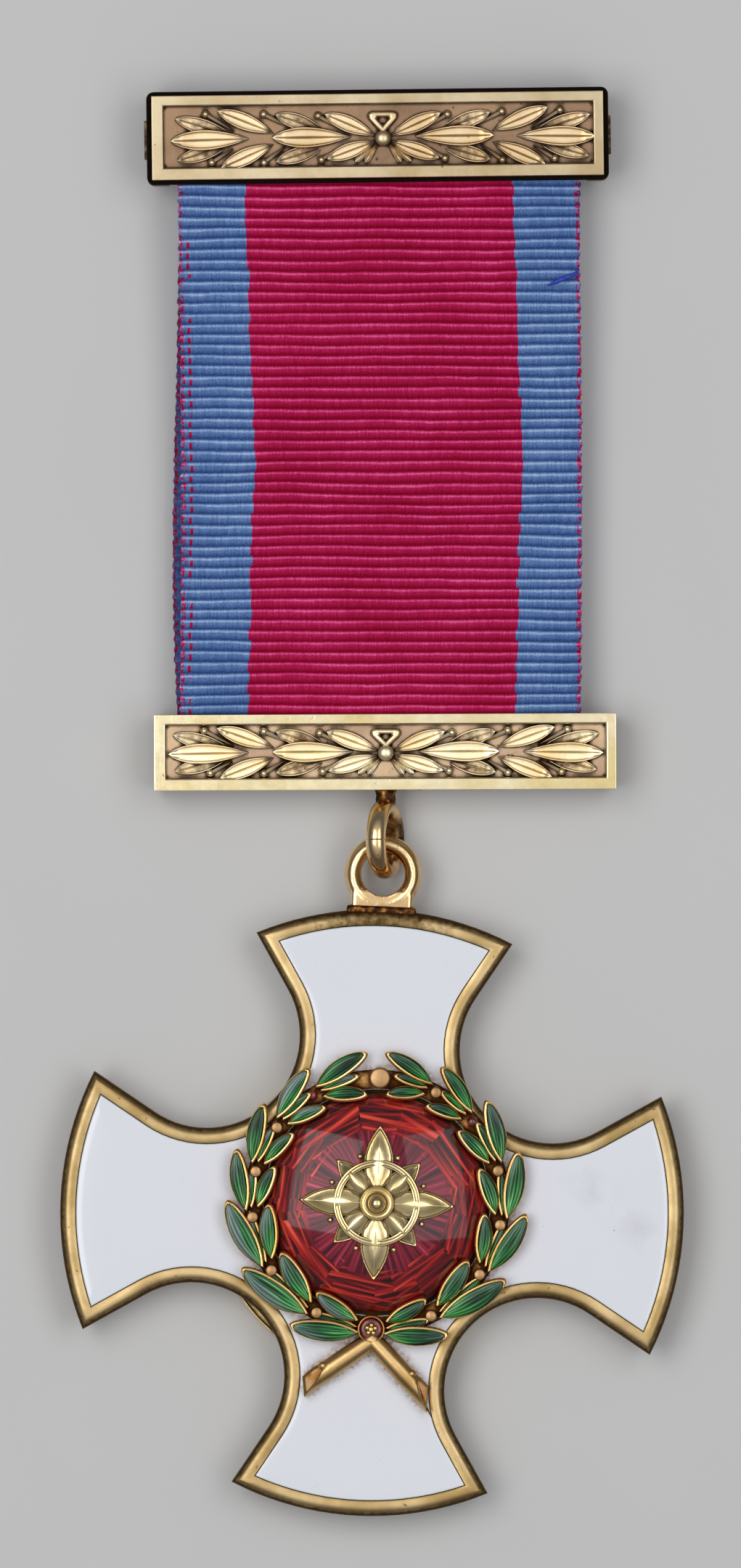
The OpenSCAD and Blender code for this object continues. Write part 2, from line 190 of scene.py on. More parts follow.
def move(piece, matrix):
    """Puts a piece's place into its mesh."""
    focus(piece, "OBJECT")
    piece.matrix_world = matrix @ piece.matrix_world
    bpy.ops.object.transform_apply(location=True, rotation=True, scale=True)
    return piece


def copy(piece, matrix):
    made = piece.copy()
    made.data = piece.data.copy()
    bpy.context.collection.objects.link(made)
    return move(made, matrix)


def join(pieces):
    deselect()
    for piece in pieces:
        piece.select_set(True)
    bpy.context.view_layer.objects.active = pieces[0]
    bpy.ops.object.join()
    return bpy.context.object


def coated(piece, *materials):
    for material in materials:
        piece.data.materials.append(material)
    return piece


def cut(piece, cutter):
    modify(piece, "BOOLEAN", object=cutter, operation="DIFFERENCE", solver="EXACT")
    bpy.data.objects.remove(cutter)
    return piece


def outwards(piece):
    focus(piece)
    select_all()
    bpy.ops.mesh.remove_doubles(threshold=0.002)
    bpy.ops.mesh.normals_make_consistent(inside=False)
    leave()
    return piece


def block(size, place):
    return add("cube", size=1, scale=size, location=place)


def drum(radius, low, high, place=(0, 0), sides=48):
    centre = (*place, (low + high) / 2)
    return add("cylinder", radius=radius, depth=high - low, vertices=sides, location=centre)


def ball(radius, place, segments=16, rings=10):
    return add("uv_sphere", radius=radius, segments=segments, ring_count=rings, location=place)


def finish(piece, name, place, material, nodes, smooth=35):
    """Names a piece, takes it from its own millimetres into the frame, and hides the model's parts that it
    stands for.
    """
    move(piece, Matrix.Scale(MM, 4) @ place)
    bpy.ops.object.shade_smooth_by_angle(angle=math.radians(smooth))
    if "flat" in piece.vertex_groups:
        modify(piece, "WEIGHTED_NORMAL", keep_sharp=True, vertex_group="flat")
        piece.vertex_groups.clear()
    piece.name = name
    if material is not None:
        piece.data.materials.clear()
        coated(piece, material)
    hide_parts(*nodes)
    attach(piece, "root")
    return piece


def loft(loops, ends=True):
    """Skin through loops of points: each loop is extruded from the one before and set to its own points."""
    piece = add("circle", vertices=len(loops[0]), fill_type="NOTHING")
    focus(piece)
    bpy.ops.mesh.select_mode(type="VERT")
    select_all()
    data = piece.data
    mesh = bmesh.from_edit_mesh(data)
    place = mesh.verts.layers.int.new("place")
    for number, vertex in enumerate(mesh.verts):
        vertex[place] = number
    for step, loop in enumerate(loops):
        if step:
            bpy.ops.mesh.extrude_region_move()
            mesh = bmesh.from_edit_mesh(data)
            place = mesh.verts.layers.int["place"]
        for vertex in mesh.verts:
            if vertex.select:
                vertex.co = loop[vertex[place]]
        if ends and step in (0, len(loops) - 1):
            bpy.ops.mesh.edge_face_add()
            if step == 0:
                bpy.ops.mesh.region_to_loop()
    bmesh.update_edit_mesh(data)
    leave()
    return outwards(piece)


def lathe(profile, steps=64):
    """Turned form: a line through points of radius and height, spun about the upright axis."""
    piece = add("plane", size=1)
    focus(piece)
    bpy.ops.mesh.select_mode(type="VERT")
    select_all()
    bpy.ops.mesh.merge(type="CENTER")
    for number, (radius, height) in enumerate(profile):
        if number:
            bpy.ops.mesh.extrude_region_move()
        mesh = bmesh.from_edit_mesh(piece.data)
        for vertex in mesh.verts:
            if vertex.select:
                vertex.co = (radius, 0, height)
    bmesh.update_edit_mesh(piece.data)
    select_all()
    bpy.ops.mesh.spin(steps=steps, angle=math.tau, center=(0, 0, 0), axis=(0, 0, 1))
    leave()
    return outwards(piece)


def leaf(length, width, across, widest, depth=0.4, columns=20, blunt=0.5):
    """Leaf along +X from its stalk at the origin, with a tip that is not dished, and pointed above a blunt of
    a half. Across has shares of the half width and their heights, from the edge to the midrib; the same
    rows make both halves."""
    rows = len(across)
    piece = add("grid", x_subdivisions=columns, y_subdivisions=2 * rows - 2, size=1)
    focus(piece)
    for side in (-1, 1):
        for number, (share, height) in enumerate(across):
            y = side * (0.5 - 0.5 * number / (rows - 1))
            if number == rows - 1 and side == 1:
                continue
            pick("VERT", lambda p: abs(p.y - y) < 0.001 and p.z == 0)
            shift(y=side * share * width / 2 - y, z=height + 0.0001)
    lip = max(height for _, height in across)
    for number in range(columns + 1):
        x = number / columns - 0.5
        t = number / columns
        if t < widest:
            swell = math.sin(math.pi / 2 * t / widest)
        else:
            swell = max(1 - ((t - widest) / (1 - widest)) ** 2, 0) ** blunt
        pick("VERT", lambda p: abs(p.x - x) < 0.001)
        if t > 0.88:
            scale(1, swell, 0.6 if t < 0.92 else 0.15 if t < 0.99 else 0, about=(x, 0, lip))
        else:
            scale(1, swell, min(1.0, 2.5 * swell), about=(x, 0, 0))
    select_all()
    shift(x=0.5)
    scale(length, 1, 1)
    bpy.ops.mesh.remove_doubles(threshold=0.001)
    select_all()
    bpy.ops.mesh.region_to_loop()
    extrude(-depth)
    scale(1, 1, 0, about=(0, 0, -depth))
    bpy.ops.mesh.edge_face_add()
    leave()
    return outwards(piece)


def lying(start, end, height=0.0):
    """Place of a piece that starts at one point and runs towards another."""
    run = end - start
    return turned((*start, height), math.degrees(math.atan2(run.y, run.x)))


# Materials: values that run through nodes, and the effects that several finishes share


class Flow:
    """A value on its way through a material's nodes. Arithmetic on it adds the nodes for it: a comparison is
    a mask, and a bar between two masks is where either holds."""

    def __init__(self, socket):
        self.socket = socket
        self.tree = socket.id_data

    def by(self, kind, *others):
        return put(self.tree, "Math", dict(enumerate((self, *others))), operation=kind)

    def __add__(self, other):
        return self.by("ADD", other)

    def __sub__(self, other):
        return self.by("SUBTRACT", other)

    def __rsub__(self, other):
        return put(self.tree, "Math", {0: other, 1: self}, operation="SUBTRACT")

    def __mul__(self, other):
        return self.by("MULTIPLY", other)

    def __truediv__(self, other):
        return self.by("DIVIDE", other)

    def __lt__(self, other):
        return self.by("LESS_THAN", other)

    def __gt__(self, other):
        return self.by("GREATER_THAN", other)

    def __or__(self, other):
        return self.by("MAXIMUM", other)

    def __abs__(self):
        return self.by("ABSOLUTE")


def feed(socket, value):
    """Links a socket to a value on its way, or sets it to a constant."""
    if isinstance(value, Flow):
        value.tree.links.new(value.socket, socket)
    else:
        socket.default_value = value


def put(tree, kind, inputs, give=0, **settings):
    """Adds a node, sets it, fills its inputs by name or number, and gives one of its outputs."""
    made = tree.nodes.new("ShaderNode" + kind)
    for name, value in settings.items():
        setattr(made, name, value)
    for name, value in inputs.items():
        feed(made.inputs[name], value)
    return Flow(made.outputs[give])


def tone(code):
    """Linear colour from six hexadecimal figures."""
    parts = [int(code[i : i + 2], 16) / 255 for i in (0, 2, 4)]
    return (*(c / 12.92 if c <= 0.04045 else ((c + 0.055) / 1.055) ** 2.4 for c in parts), 1)


def split(vector):
    """The three parts of a vector."""
    return [Flow(socket) for socket in put(vector.tree, "SeparateXYZ", {0: vector}).socket.node.outputs]


def combine(x, y, z=0.0):
    return put(x.tree, "CombineXYZ", {0: x, 1: y, 2: z})


def span(value, low, high, to_low=0.0, to_high=1.0):
    """Carries a value from one range to another, held at its ends."""
    ends = {"Value": value, "From Min": low, "From Max": high, "To Min": to_low, "To Max": to_high}
    return put(value.tree, "MapRange", ends)


def blend(share, a, b):
    return put(share.tree, "Mix", {0: share, 6: a, 7: b}, give=2, data_type="RGBA")


def ramp(value, *stops):
    """Colour ramp; stops are a position and a colour by turns."""
    shown = put(value.tree, "ValToRGB", {0: value})
    points = shown.socket.node.color_ramp.elements
    while len(points) < len(stops) // 2:
        points.new(0.5)
    for point, position, code in zip(points, stops[::2], stops[1::2]):
        point.position = position
        point.color = tone(code)
    return shown


def streaks_in(vector, detail):
    return put(vector.tree, "TexNoise", {"Vector": vector, "Scale": 1.0, "Detail": detail})


def grain(vector, size, detail, stretch=(1, 1, 1)):
    """Noise whose grains are about that many millimetres, drawn out by the stretch."""
    sized = {"Vector": vector, "Scale": [1 / (size * MM * s) for s in stretch]}
    return streaks_in(put(vector.tree, "Mapping", sized), detail)


def shade_in(place, reach):
    """How open a spot is to its surroundings within a reach."""
    return put(place.tree, "AmbientOcclusion", {"Distance": reach * MM}, give="AO", samples=8)


def chance(value):
    """A number from 0 to 1 that each whole value has for itself."""
    return put(value.tree, "TexWhiteNoise", {"W": value}, noise_dimensions="1D")


def group(name, inputs, make):
    """A node group of named inputs, each with its kind; make gives its outputs' kinds and values by name."""
    tree = bpy.data.node_groups.new(name, "ShaderNodeTree")
    for title, kind in inputs.items():
        tree.interface.new_socket(title, in_out="INPUT", socket_type="NodeSocket" + kind)
    source = tree.nodes.new("NodeGroupInput")
    results = make({title: Flow(source.outputs[title]) for title in inputs})
    for title, (kind, _) in results.items():
        tree.interface.new_socket(title, in_out="OUTPUT", socket_type="NodeSocket" + kind)
    result = tree.nodes.new("NodeGroupOutput")
    for title, (_, value) in results.items():
        feed(result.inputs[title], value)
    return tree


def use(made_group, **inputs):
    """Places a node group beside its inputs, and gives its outputs by name."""
    placed = inputs["Place"].tree.nodes.new("ShaderNodeGroup")
    placed.node_tree = made_group
    for name, value in inputs.items():
        feed(placed.inputs[name], value)
    return {socket.name: Flow(socket) for socket in placed.outputs}


def gilt_patina_and_shade(given):
    """Gilding: bright where it is clean and lit, brown with dirt and painted shade elsewhere, with hairlines
    and pits.
    """
    place = given["Place"]
    fine = grain(place, 0.4, 5)
    hairs = grain(place, 0.07, 1, (1, 16, 8))
    pits = span(grain(place, 0.5, 2), 0.70, 0.78)
    # Share of clean, lit metal: rubbed metal and painted light together; below it lie dirt and painted shade
    rubbed_and_lit = span((fine - 0.5) * 0.9 + given["Open"], 0.2, 0.75)
    worn = blend(span(grain(place, 3.5, 5), 0.38, 0.66), given["Bright"], given["Toned"])
    colour = blend(pits * 0.7, blend(rubbed_and_lit, given["Dirt"], worn), given["Dirt"])
    rough = fine * 0.16 + 0.12 + span(rubbed_and_lit, 0, 1, 0.3, 0.0)
    height = hairs * 0.35 + fine * 0.7 - pits * 1.6
    return {"Color": ("Color", colour), "Roughness": ("Float", rough), "Height": ("Float", height)}


def round_centre(given):
    """Place from the middle of the red centre in the cross's own direction, and the distance and angle."""
    place = given["Place"]
    centred = put(place.tree, "VectorMath", {0: place, 1: CENTRE_AT * MM}, operation="SUBTRACT")
    facing = {"Vector": centred, "Rotation": (0, 0, math.radians(-CROSS_TURN)), "Scale": [1 / MM] * 3}
    x, y, _ = split(put(place.tree, "Mapping", facing))
    values = {"X": x, "Y": y, "Radius": (x * x + y * y).by("SQRT"), "Angle": y.by("ARCTAN2", x)}
    return {title: ("Float", value) for title, value in values.items()}


patina_and_shade = group("patina_and_shade", {"Place": "Vector", "Bright": "Color", "Toned": "Color", "Dirt": "Color",
                          "Open": "Float"}, gilt_patina_and_shade)
polar = group("polar", {"Place": "Vector"}, round_centre)


def finish_of(name):
    """A new material, and the place on the piece."""
    made = bpy.data.materials.new(name)
    made.use_nodes = True
    return made, put(made.node_tree, "TexCoord", {}, give="Object")


def dressed(made, looks, height=None, strength=0.0, distance=0.0):
    """Feeds a material's shader, with a bump as deep as the distance in millimetres."""
    if height:
        sizes = {"Height": height, "Strength": strength, "Distance": distance * MM}
        looks["Normal"] = put(made.node_tree, "Bump", sizes)
    for name, value in looks.items():
        feed(made.node_tree.nodes["Principled BSDF"].inputs[name], value)
    return made


def gilding(name, bright, toned, dirt_and_shade, low, high, crevice=0.0, relief=0.25, matt=0.0, about=None, lighter_within=None,
            dim=None):
    """Gilt metal; dirt and painted shade darken it below the low height and in crevices that wide, and
    give way to clean, lit metal above. About a height, both are counted from there to either face, and
    nearer to it than the given distance the metal is lighter again. Dim is a place with the reach of a darker
    patch of painted shade."""
    made, place = finish_of(name)
    height = split(place)[2]
    if about is not None:
        height = abs(height - about * MM)
    # Clean, lit metal above the low height; below it, dirt and painted shade
    clean_and_lit = span(height, low * MM, high * MM)
    # Nearer to the height than the given distance, the metal is lighter again, taking back most of the painted
    # shade
    if lighter_within:
        clean_and_lit = clean_and_lit | span(height, 0.7 * lighter_within * MM, lighter_within * MM, 0.7, 0.0)
    # Dirt and painted shade in crevices, from occlusion
    if crevice:
        clean_and_lit = clean_and_lit * span(shade_in(place, crevice), 0.5, 0.8)
    # A darker patch of painted shade round a place
    if dim:
        spot, reach = Vector(dim[:3]) * MM, dim[3] * MM
        away = put(place.tree, "VectorMath", {0: place, 1: spot}, give="Value", operation="DISTANCE")
        clean_and_lit = clean_and_lit * span(away, 0.35 * reach, reach, 0.42, 1.0)
    shown = use(patina_and_shade, Place=place, Bright=tone(bright), Toned=tone(toned), Dirt=tone(dirt_and_shade), Open=clean_and_lit)
    looks = {"Base Color": shown["Color"], "Roughness": shown["Roughness"] + matt, "Metallic": 1.0}
    return dressed(made, looks, shown["Height"], relief, 0.02)


def near_line(x, y, start, end, reach):
    """Mask round a straight line between two points, ragged through the values it is given."""
    run = (end - start).normalized()
    across = abs(x * -run.y + y * run.x - (start.y * run.x - start.x * run.y))
    down = x * run.x + y * run.y - start.dot(run)
    away = across | (down * -1 | down - (end - start).length)
    return span(away, reach[0], reach[1], 1.0, 0.0)


def white_enamel():
    """White enamel with a greenish line at its edge, gilder's residue round the wreath and fine scratches."""
    made, place = finish_of("white_enamel")
    spot = use(polar, Place=place)
    x, y = spot["X"], spot["Y"]
    ragged = grain(place, 0.9, 6) - 0.5
    near = span(ragged * 1.6 + spot["Radius"], 10.6, 12.2, 1.0, 0.0)
    for start, degrees in STEMS.values():
        near = near | near_line(ragged * 0.9 + x, y, start, start + 5.6 * way(degrees), (0.8, 1.3))
    sheltered = span(ragged * 0.5 + shade_in(place, 0.9), 0.5, 0.9, 1.0, 0.0)
    residue = near * sheltered * span(grain(place, 0.3, 4), 0.36, 0.6)
    aslant = put(place.tree, "Mapping", {"Vector": place, "Rotation": (0, 0, 0.9)})
    hairs, slants = grain(place, 0.16, 2, (1, 13, 1)), grain(aslant, 0.14, 2, (1, 15, 1))
    scratch = span(hairs, 0.76, 0.82) | span(slants, 0.76, 0.82)
    specks = span(grain(place, 0.35, 1), 0.79, 0.83)
    smudge = near_line(x, y, Vector((14.2, 2.2)), Vector((18.3, -1.2)), (0.2, 1.6))
    smudge = smudge * span(grain(place, 2.4, 3), 0.38, 0.7)
    edge = span(split(place)[2], (FACE_Z - 0.085) * MM, (FACE_Z - 0.064) * MM, 1.0, 0.0)
    colour = blend(grain(place, 7, 3), tone("f7f8ff"), tone("fbfcff"))
    marks = [(residue, 0.85, "a8703a"), (scratch, 0.28, "9a97a0"), (specks, 0.55, "6b6660"),
             (smudge, 0.2, "8d8478"), (edge, 0.75, "7f9272")]
    for mask, strength, code in marks:
        colour = blend(mask * strength, colour, tone(code))
    looks = {"Base Color": colour, "Roughness": span(residue, 0, 1, 0.16, 0.6), "Coat Weight": 0.4,
             "Coat Roughness": 0.06}
    return dressed(made, looks, grain(place, 2.5, 2) - scratch * 0.2, 0.12, 0.04)


def chords(radius, angle, sectors, turn):
    """Streaks laid straight across each of so many sectors round the middle."""
    sector = angle * (sectors / math.tau) + turn
    aslant = (sector.by("FRACT") - 0.5) * (math.tau / sectors)
    out, down = radius * aslant.by("COSINE"), radius * aslant.by("SINE")
    return streaks_in(combine(out * 3.7, down * 0.16, sector.by("FLOOR") * 0.8 + turn * 40), 0.6)


def red_enamel():
    """Translucent red over cut metal: rays in the middle, a border of laid lines that change direction."""
    made, place = finish_of("red_enamel_centre")
    spot = use(polar, Place=place)
    radius, angle = spot["Radius"], spot["Angle"]
    rays = streaks_in(combine(angle.by("COSINE") * 20, angle.by("SINE") * 20, radius * 0.15), 2.0) * 0.62 + 0.2
    first = chords(radius, angle, 13, 0.2)
    lines = first | chords(radius, angle, 8, 0.7)
    border = span((first - 0.5) * 1.6 + radius, 4.9, 5.1)
    cut_lines = (lines - rays) * border + rays
    inner = ramp(rays, 0.38, "2c0310", 0.5, "6c0c22", 0.58, "9a1f38", 0.68, "c24c66")
    strokes = ramp(lines, 0.38, "1e0104", 0.5, "580810", 0.58, "8a0f14", 0.65, "bc241c", 0.76, "ec543c")
    deep = span(radius, 6.6, 7.45, 0.0, 0.75)
    looks = {"Base Color": blend(deep, blend(border, inner, strokes), tone("3a0205")), "Metallic": 0.25,
             "Specular IOR Level": 0.1, "Roughness": span(cut_lines, 0.3, 0.7, 0.55, 0.35),
             "Coat Weight": 1.0, "Coat Roughness": 0.05, "Coat IOR": 1.36}
    return dressed(made, looks, cut_lines, 0.35, 0.08)


def green_enamel():
    """Translucent green over fine lines cut along each leaf, brighter at its base, and greyed over part of it
    by a film and painted sheen.
    """
    made, place = finish_of("green_enamel")
    u, v, _ = split(put(place.tree, "UVMap", {}, uv_map="along"))
    number = (u * 0.5).by("FLOOR")
    t = number * -2 + u
    own = chance(number)
    streaks = streaks_in(combine(u * 1.6, v * 3.2), 2.0)
    lines = ((streaks - 0.5) * 5.0 + v * 20).by("SINE") * 0.5 + 0.5
    light = span(t, 0.08, 0.62, 0.3, -0.12) + (own - 0.5) * 0.22
    glow = lines * 0.3 + streaks * 0.75 + light * 0.55
    colour = ramp(glow, 0.29, "02120a", 0.44, "063418", 0.57, "126a2c", 0.72, "40a446", 0.92, "b0e296")
    # A grey film with a painted sheen over part of each leaf
    slant = (streaks - 0.5) * 0.6 + (v * (own - 0.35) + t * 0.55)
    film_and_sheen = span(slant, 0.34, 0.6) * span(own, 0.1, 0.9, 0.35, 0.95)
    looks = {"Base Color": blend(film_and_sheen, colour, blend(lines, tone("405652"), tone("869c94"))), "Metallic": 0.2,
             "Roughness": 0.38, "Specular IOR Level": 0.2, "Coat Weight": 0.6, "Coat Roughness": 0.1,
             "Coat IOR": 1.4}
    return dressed(made, looks, lines, 0.3, 0.03)


def mottled(name, size, detail, stops, looks, strength, distance, rough=None, stretch=(1, 1, 1)):
    """A finish whose colour, and roughness if two are given, follow one noise."""
    made, place = finish_of(name)
    shade = grain(place, size, detail, stretch)
    looks["Base Color"] = ramp(shade, *stops)
    if rough:
        looks["Roughness"] = span(shade, 0.3, 0.7, *rough)
    return dressed(made, looks, shade, strength, distance)


def cloth(pitch):
    """Watered-silk look of a ribbed ribbon: blue, crimson and blue, each rib wrapped by fine threads, with
    painted light on each rib's crest and a painted highlight along its upper side.
    """
    made, place = finish_of("ribbon_weave")
    u, v, _ = split(put(place.tree, "UVMap", {}, uv_map="woven"))
    rib, thread = v / pitch, u / WARP
    across = rib.by("FRACT")
    # Painted light on each rib: lighter on its crest, and a painted highlight line along its upper side
    lit_crest = (across * math.pi).by("SINE")
    bright = span(abs(across - (grain(place, 2.5, 2) * 0.3 + 0.13)), 0.03, 0.2, 1.0, 0.0)
    step = chance(rib.by("FLOOR"))
    crossing = combine(thread.by("FLOOR"), rib.by("FLOOR"))
    thread_tone = put(place.tree, "TexWhiteNoise", {"Vector": crossing}, noise_dimensions="2D")
    jagged = step * 0.22 + (thread_tone * 0.12 + u)
    in_red = (jagged > STRIPES[0] + 0.17) * (jagged < STRIPES[1] + 0.17)
    # Each rib's tone: the threads' own shades with the painted crest light and painted highlight; noise
    # follows
    glow = thread_tone * 0.12 + lit_crest * 0.32 + bright * 0.42
    glow = glow + (grain(place, 0.1, 2) - 0.5) * 0.55 + (grain(place, 5, 4) - 0.5) * 0.3
    red = ramp(glow, 0.06, "8c0026", 0.36, "b60548", 0.6, "d82a6e", 0.9, "f674aa")
    blue = ramp(glow, 0.06, "34508a", 0.36, "5a7cb4", 0.6, "82a2d2", 0.9, "bcd4f4")
    inward = (step - 0.5) * 0.16 + (RIBBON_W / 2 - abs(u))
    dots = (abs(inward - 0.66) < 0.1) * (across > 0.42) * (u < 0) * (grain(place, 3, 2) > 0.44)
    outer = (inward < 0.3) * (grain(place, 0.2, 2) > 0.5)
    looks = {"Base Color": blend(dots | outer, blend(in_red, blue, red), red), "Roughness": 0.62,
             "Specular IOR Level": 0.14, "Sheen Weight": 0.06, "Sheen Roughness": 0.4}
    height = (thread.by("FRACT") * math.pi).by("SINE") * 0.6 + thread_tone * 0.5
    return dressed(made, looks, height, 0.5, 0.03)


# Where the ribbon's crimson begins and ends, from its middle, its width and the pitch of its long threads
STRIPES = (-8.95, 9.5)
RIBBON_W = 27.6
WARP = 0.1

# Gildings: the third colour is dirt and painted shade, on the lower parts of each piece and, from occlusion,
# in its crevices. On the cross it lies on the rim's flanks, away from both faces, lighter again at the middle
# of each side, and a patch of painted shade darkens the rim at the top arm's end.
GOLD = gilding("gilt_cross", "d2b684", "a68a58", "5c4422", 1.0, 1.3, crevice=0.3, matt=0.2,
               about=BODY_Z + BODY_T / 2, lighter_within=0.8, dim=(0.75, -7.6, 4.2, 7.0))
BOSS_GOLD = gilding("gilt_back", "ecd096", "cdab6a", "5f4722", -2, -1, crevice=0.5)
LOW_GOLD = gilding("gilt_lower_bar", "ffeec2", "f2da9c", "6b4c24", 0.2, 3.6)
LOW_RELIEF = gilding("gilt_lower_relief", "fff0cc", "f0d6a2", "5e4028", 4.1, 4.41, crevice=0.18, matt=0.16)
LOW_GROUND = gilding("gilt_lower_ground", "c6aa88", "a88a74", "2a1812", 4.0, 4.1, crevice=0.35, relief=0.8,
                     matt=0.25)
TOP_GOLD = gilding("gilt_brooch_bar", "c9b795", "b39d76", "4f3d30", 1.0, 4.6, matt=0.12)
TOP_RELIEF = gilding("gilt_brooch_relief", "e6cfa8", "ccae80", "5a4434", 5.0, 5.36, crevice=0.17, matt=0.16)
TOP_GROUND = gilding("gilt_brooch_ground", "997c60", "7c6450", "3a2a2a", 5.0, 5.1, crevice=0.34, relief=0.8,
                     matt=0.25)
# The brooch bar's skirt is painted shade: dark all over, and near black at its top, where it shows round the
# face.
SHADED_SKIRT = gilding("gilt_brooch_skirt_shaded", "8c7450", "6a563a", "241c16", 0.45, 1.3, matt=0.3, about=TOP_AT.z + 3)
WREATH_GOLD = gilding("gilt_wreath", "f0ca88", "cc9c56", "7c4a20", 4.45, 4.95, crevice=0.4)
BERRY_GOLD = gilding("gilt_berries", "be966a", "a07c52", "5c3418", 4.6, 5.2, relief=1.0, matt=0.2)
STEM_GOLD = gilding("gilt_stems", "d6b278", "b08a50", "5e3c1c", 4.0, 4.75, crevice=0.3, relief=0.5, matt=0.16)
BAND_GOLD = gilding("gilt_band", "dca864", "b67c40", "4a2a16", 4.6, 5.1, crevice=0.6, matt=0.15)
ROSETTE_GOLD = gilding("gilt_rosette", "f6dfa8", "e2c684", "6e4f28", 5.3, 5.8, crevice=0.4)
RING_GOLD = gilding("gilt_ring", "f8d8a2", "daac76", "4a3014", 0.6, 2.6, crevice=0.3)
CUT_FACE = mottled("gilt_cut", 0.7, 4, (0.28, "b06a2c", 0.42, "f0a456", 0.6, "ffd49a"),
                   {"Metallic": 0.2, "Roughness": 0.5}, 0.3, 0.04)
SOLDER = mottled("solder", 0.5, 5, (0.34, "24140a", 0.5, "55321a", 0.62, "9a6428", 0.75, "c99a52"),
                 {"Metallic": 0.9}, 0.5, 0.06, rough=(0.6, 0.3))
RED = mottled("red_enamel_small", 0.5, 3, (0.35, "3d0406", 0.55, "7a120f", 0.7, "a8331f"),
              {"Roughness": 0.35, "Coat Weight": 1.0, "Coat Roughness": 0.05}, 0.2, 0.04)
THREAD = mottled("loose_thread", 0.12, 2, (0.3, "1b2f8c", 0.6, "3150cf"), {"Roughness": 0.6}, 0.4, 0.03,
                 stretch=(3, 1, 1))
WHITE = white_enamel()
RED_CENTRE = red_enamel()
GREEN = green_enamel()


# Cross


SIDE_REACH = 21.5
TALL_REACH = 20.9
NOTCH_R = 6.4
NOTCH_AT = Vector((11.93, 11.74))
FLARE = 31.5
RIM_W = 1.1
BOSS_R = 10.4
BOSS_AT = Vector((-0.3, -0.3, 0))
SEAT_AT = (0.3, 0.75)
LOOP_AT = Vector((-0.3, 23.36, BODY_Z + BODY_T / 2))
LOOP_R = 2.68
LOOP_HOLE_R = 1.5


def on_notch(inset, degrees):
    return NOTCH_AT + (NOTCH_R + inset) * way(degrees)


def tip(start, heading, reach):
    """Where a straight flare from the hollow meets the arc at an arm's end."""
    down = start.dot(heading)
    return start + heading * (math.sqrt(down**2 - start.length_squared + reach**2) - down)


def arc(radius, start, end, steps):
    return [radius * way(start + (end - start) * i / steps) for i in range(steps + 1)]


def cross_outline(inset):
    """Outline of the cross drawn in by the inset: one quarter, then its three mirrors."""
    side = tip(on_notch(inset, FLARE - 90), way(FLARE), SIDE_REACH - inset)
    tall = tip(on_notch(inset, 180 - FLARE), way(90 - FLARE), TALL_REACH - inset)
    quarter = arc(SIDE_REACH - inset, 0, math.degrees(math.atan2(side.y, side.x)), 10)
    quarter += [on_notch(inset, FLARE - 90 - (2 * FLARE + 90) * i / 32) for i in range(33)]
    quarter += arc(TALL_REACH - inset, math.degrees(math.atan2(tall.y, tall.x)), 90, 10)
    left = [Vector((-p.x, p.y)) for p in reversed(quarter[:-1])]
    below = [-p for p in quarter[1:]]
    right = [Vector((p.x, -p.y)) for p in reversed(quarter[1:-1])]
    return quarter + left + below + right


def ring_at(inset, height):
    return [(p.x, p.y, height) for p in cross_outline(inset)]


def cross_rim():
    """Half of the rim's section, from the enamel cell up over the round and down to the middle of the side."""
    round_w, round_h = 0.62, 0.75
    rows = [(RIM_W, CELL_D), (RIM_W, 0.14), (RIM_W - 0.05, 0.05), (RIM_W - 0.17, 0.012)]
    for degrees in range(0, 91, 15):
        bend = way(degrees)
        rows.append((round_w * (1 - bend.y), round_h * (1 - bend.x)))
    return rows


def cross_body():
    front = [ring_at(inset, FACE_Z - down) for inset, down in cross_rim()]
    back = [ring_at(inset, BODY_Z + down) for inset, down in reversed(cross_rim())]
    body = loft(front + back)
    boss = lathe(
        [(0, 0.35), (8.6, 0.35), (8.8, 0.3), (8.88, 0.03), (8.95, 0), (BOSS_R - 0.15, 0), (BOSS_R, 0.15),
         (BOSS_R, 2.1), (BOSS_R - 0.05, 2.2), (BOSS_R - 0.13, 2.2), (BOSS_R - 0.17, 2.1), (BOSS_R - 0.17, 1.4),
         (BOSS_R - 0.9, 1.4), (BOSS_R - 0.9, 2.2), (0, 2.2)], 96)
    move(boss, at(*BOSS_AT))
    seat = drum(DOME_R, FACE_Z - CELL_D - 0.1, DOME_Z - 0.05, SEAT_AT, 96)
    whole = join([coated(body, GOLD), coated(boss, BOSS_GOLD), coated(seat, GOLD), cross_loop()])
    finish(whole, "cross", cross_frame, None, ["cross_body"])


def cross_loop():
    """Cast loop with its foot, melted together as solder does."""
    wire = (LOOP_R - LOOP_HOLE_R) / 2
    loop = add("torus", major_radius=LOOP_R - wire, minor_radius=wire, major_segments=64, minor_segments=24)
    move(loop, Matrix.Diagonal((1, 1, 1.5, 1)))
    foot = soften(block((4.3, 1.9, 1.7), (0, -1.95, 0)), 0.3, 3)
    cut(foot, drum(LOOP_HOLE_R, -2, 2, sides=64))
    whole = join([loop, foot])
    modify(whole, "REMESH", mode="VOXEL", voxel_size=0.08)
    modify(whole, "SMOOTH", factor=0.5, iterations=4)
    plate = soften(block((4.8, 0.6, 2.1), (0, TALL_REACH - LOOP_AT.y - 0.06, 0)), 0.2, 3)
    return move(join([coated(whole, RING_GOLD), coated(plate, SOLDER)]), at(*LOOP_AT))


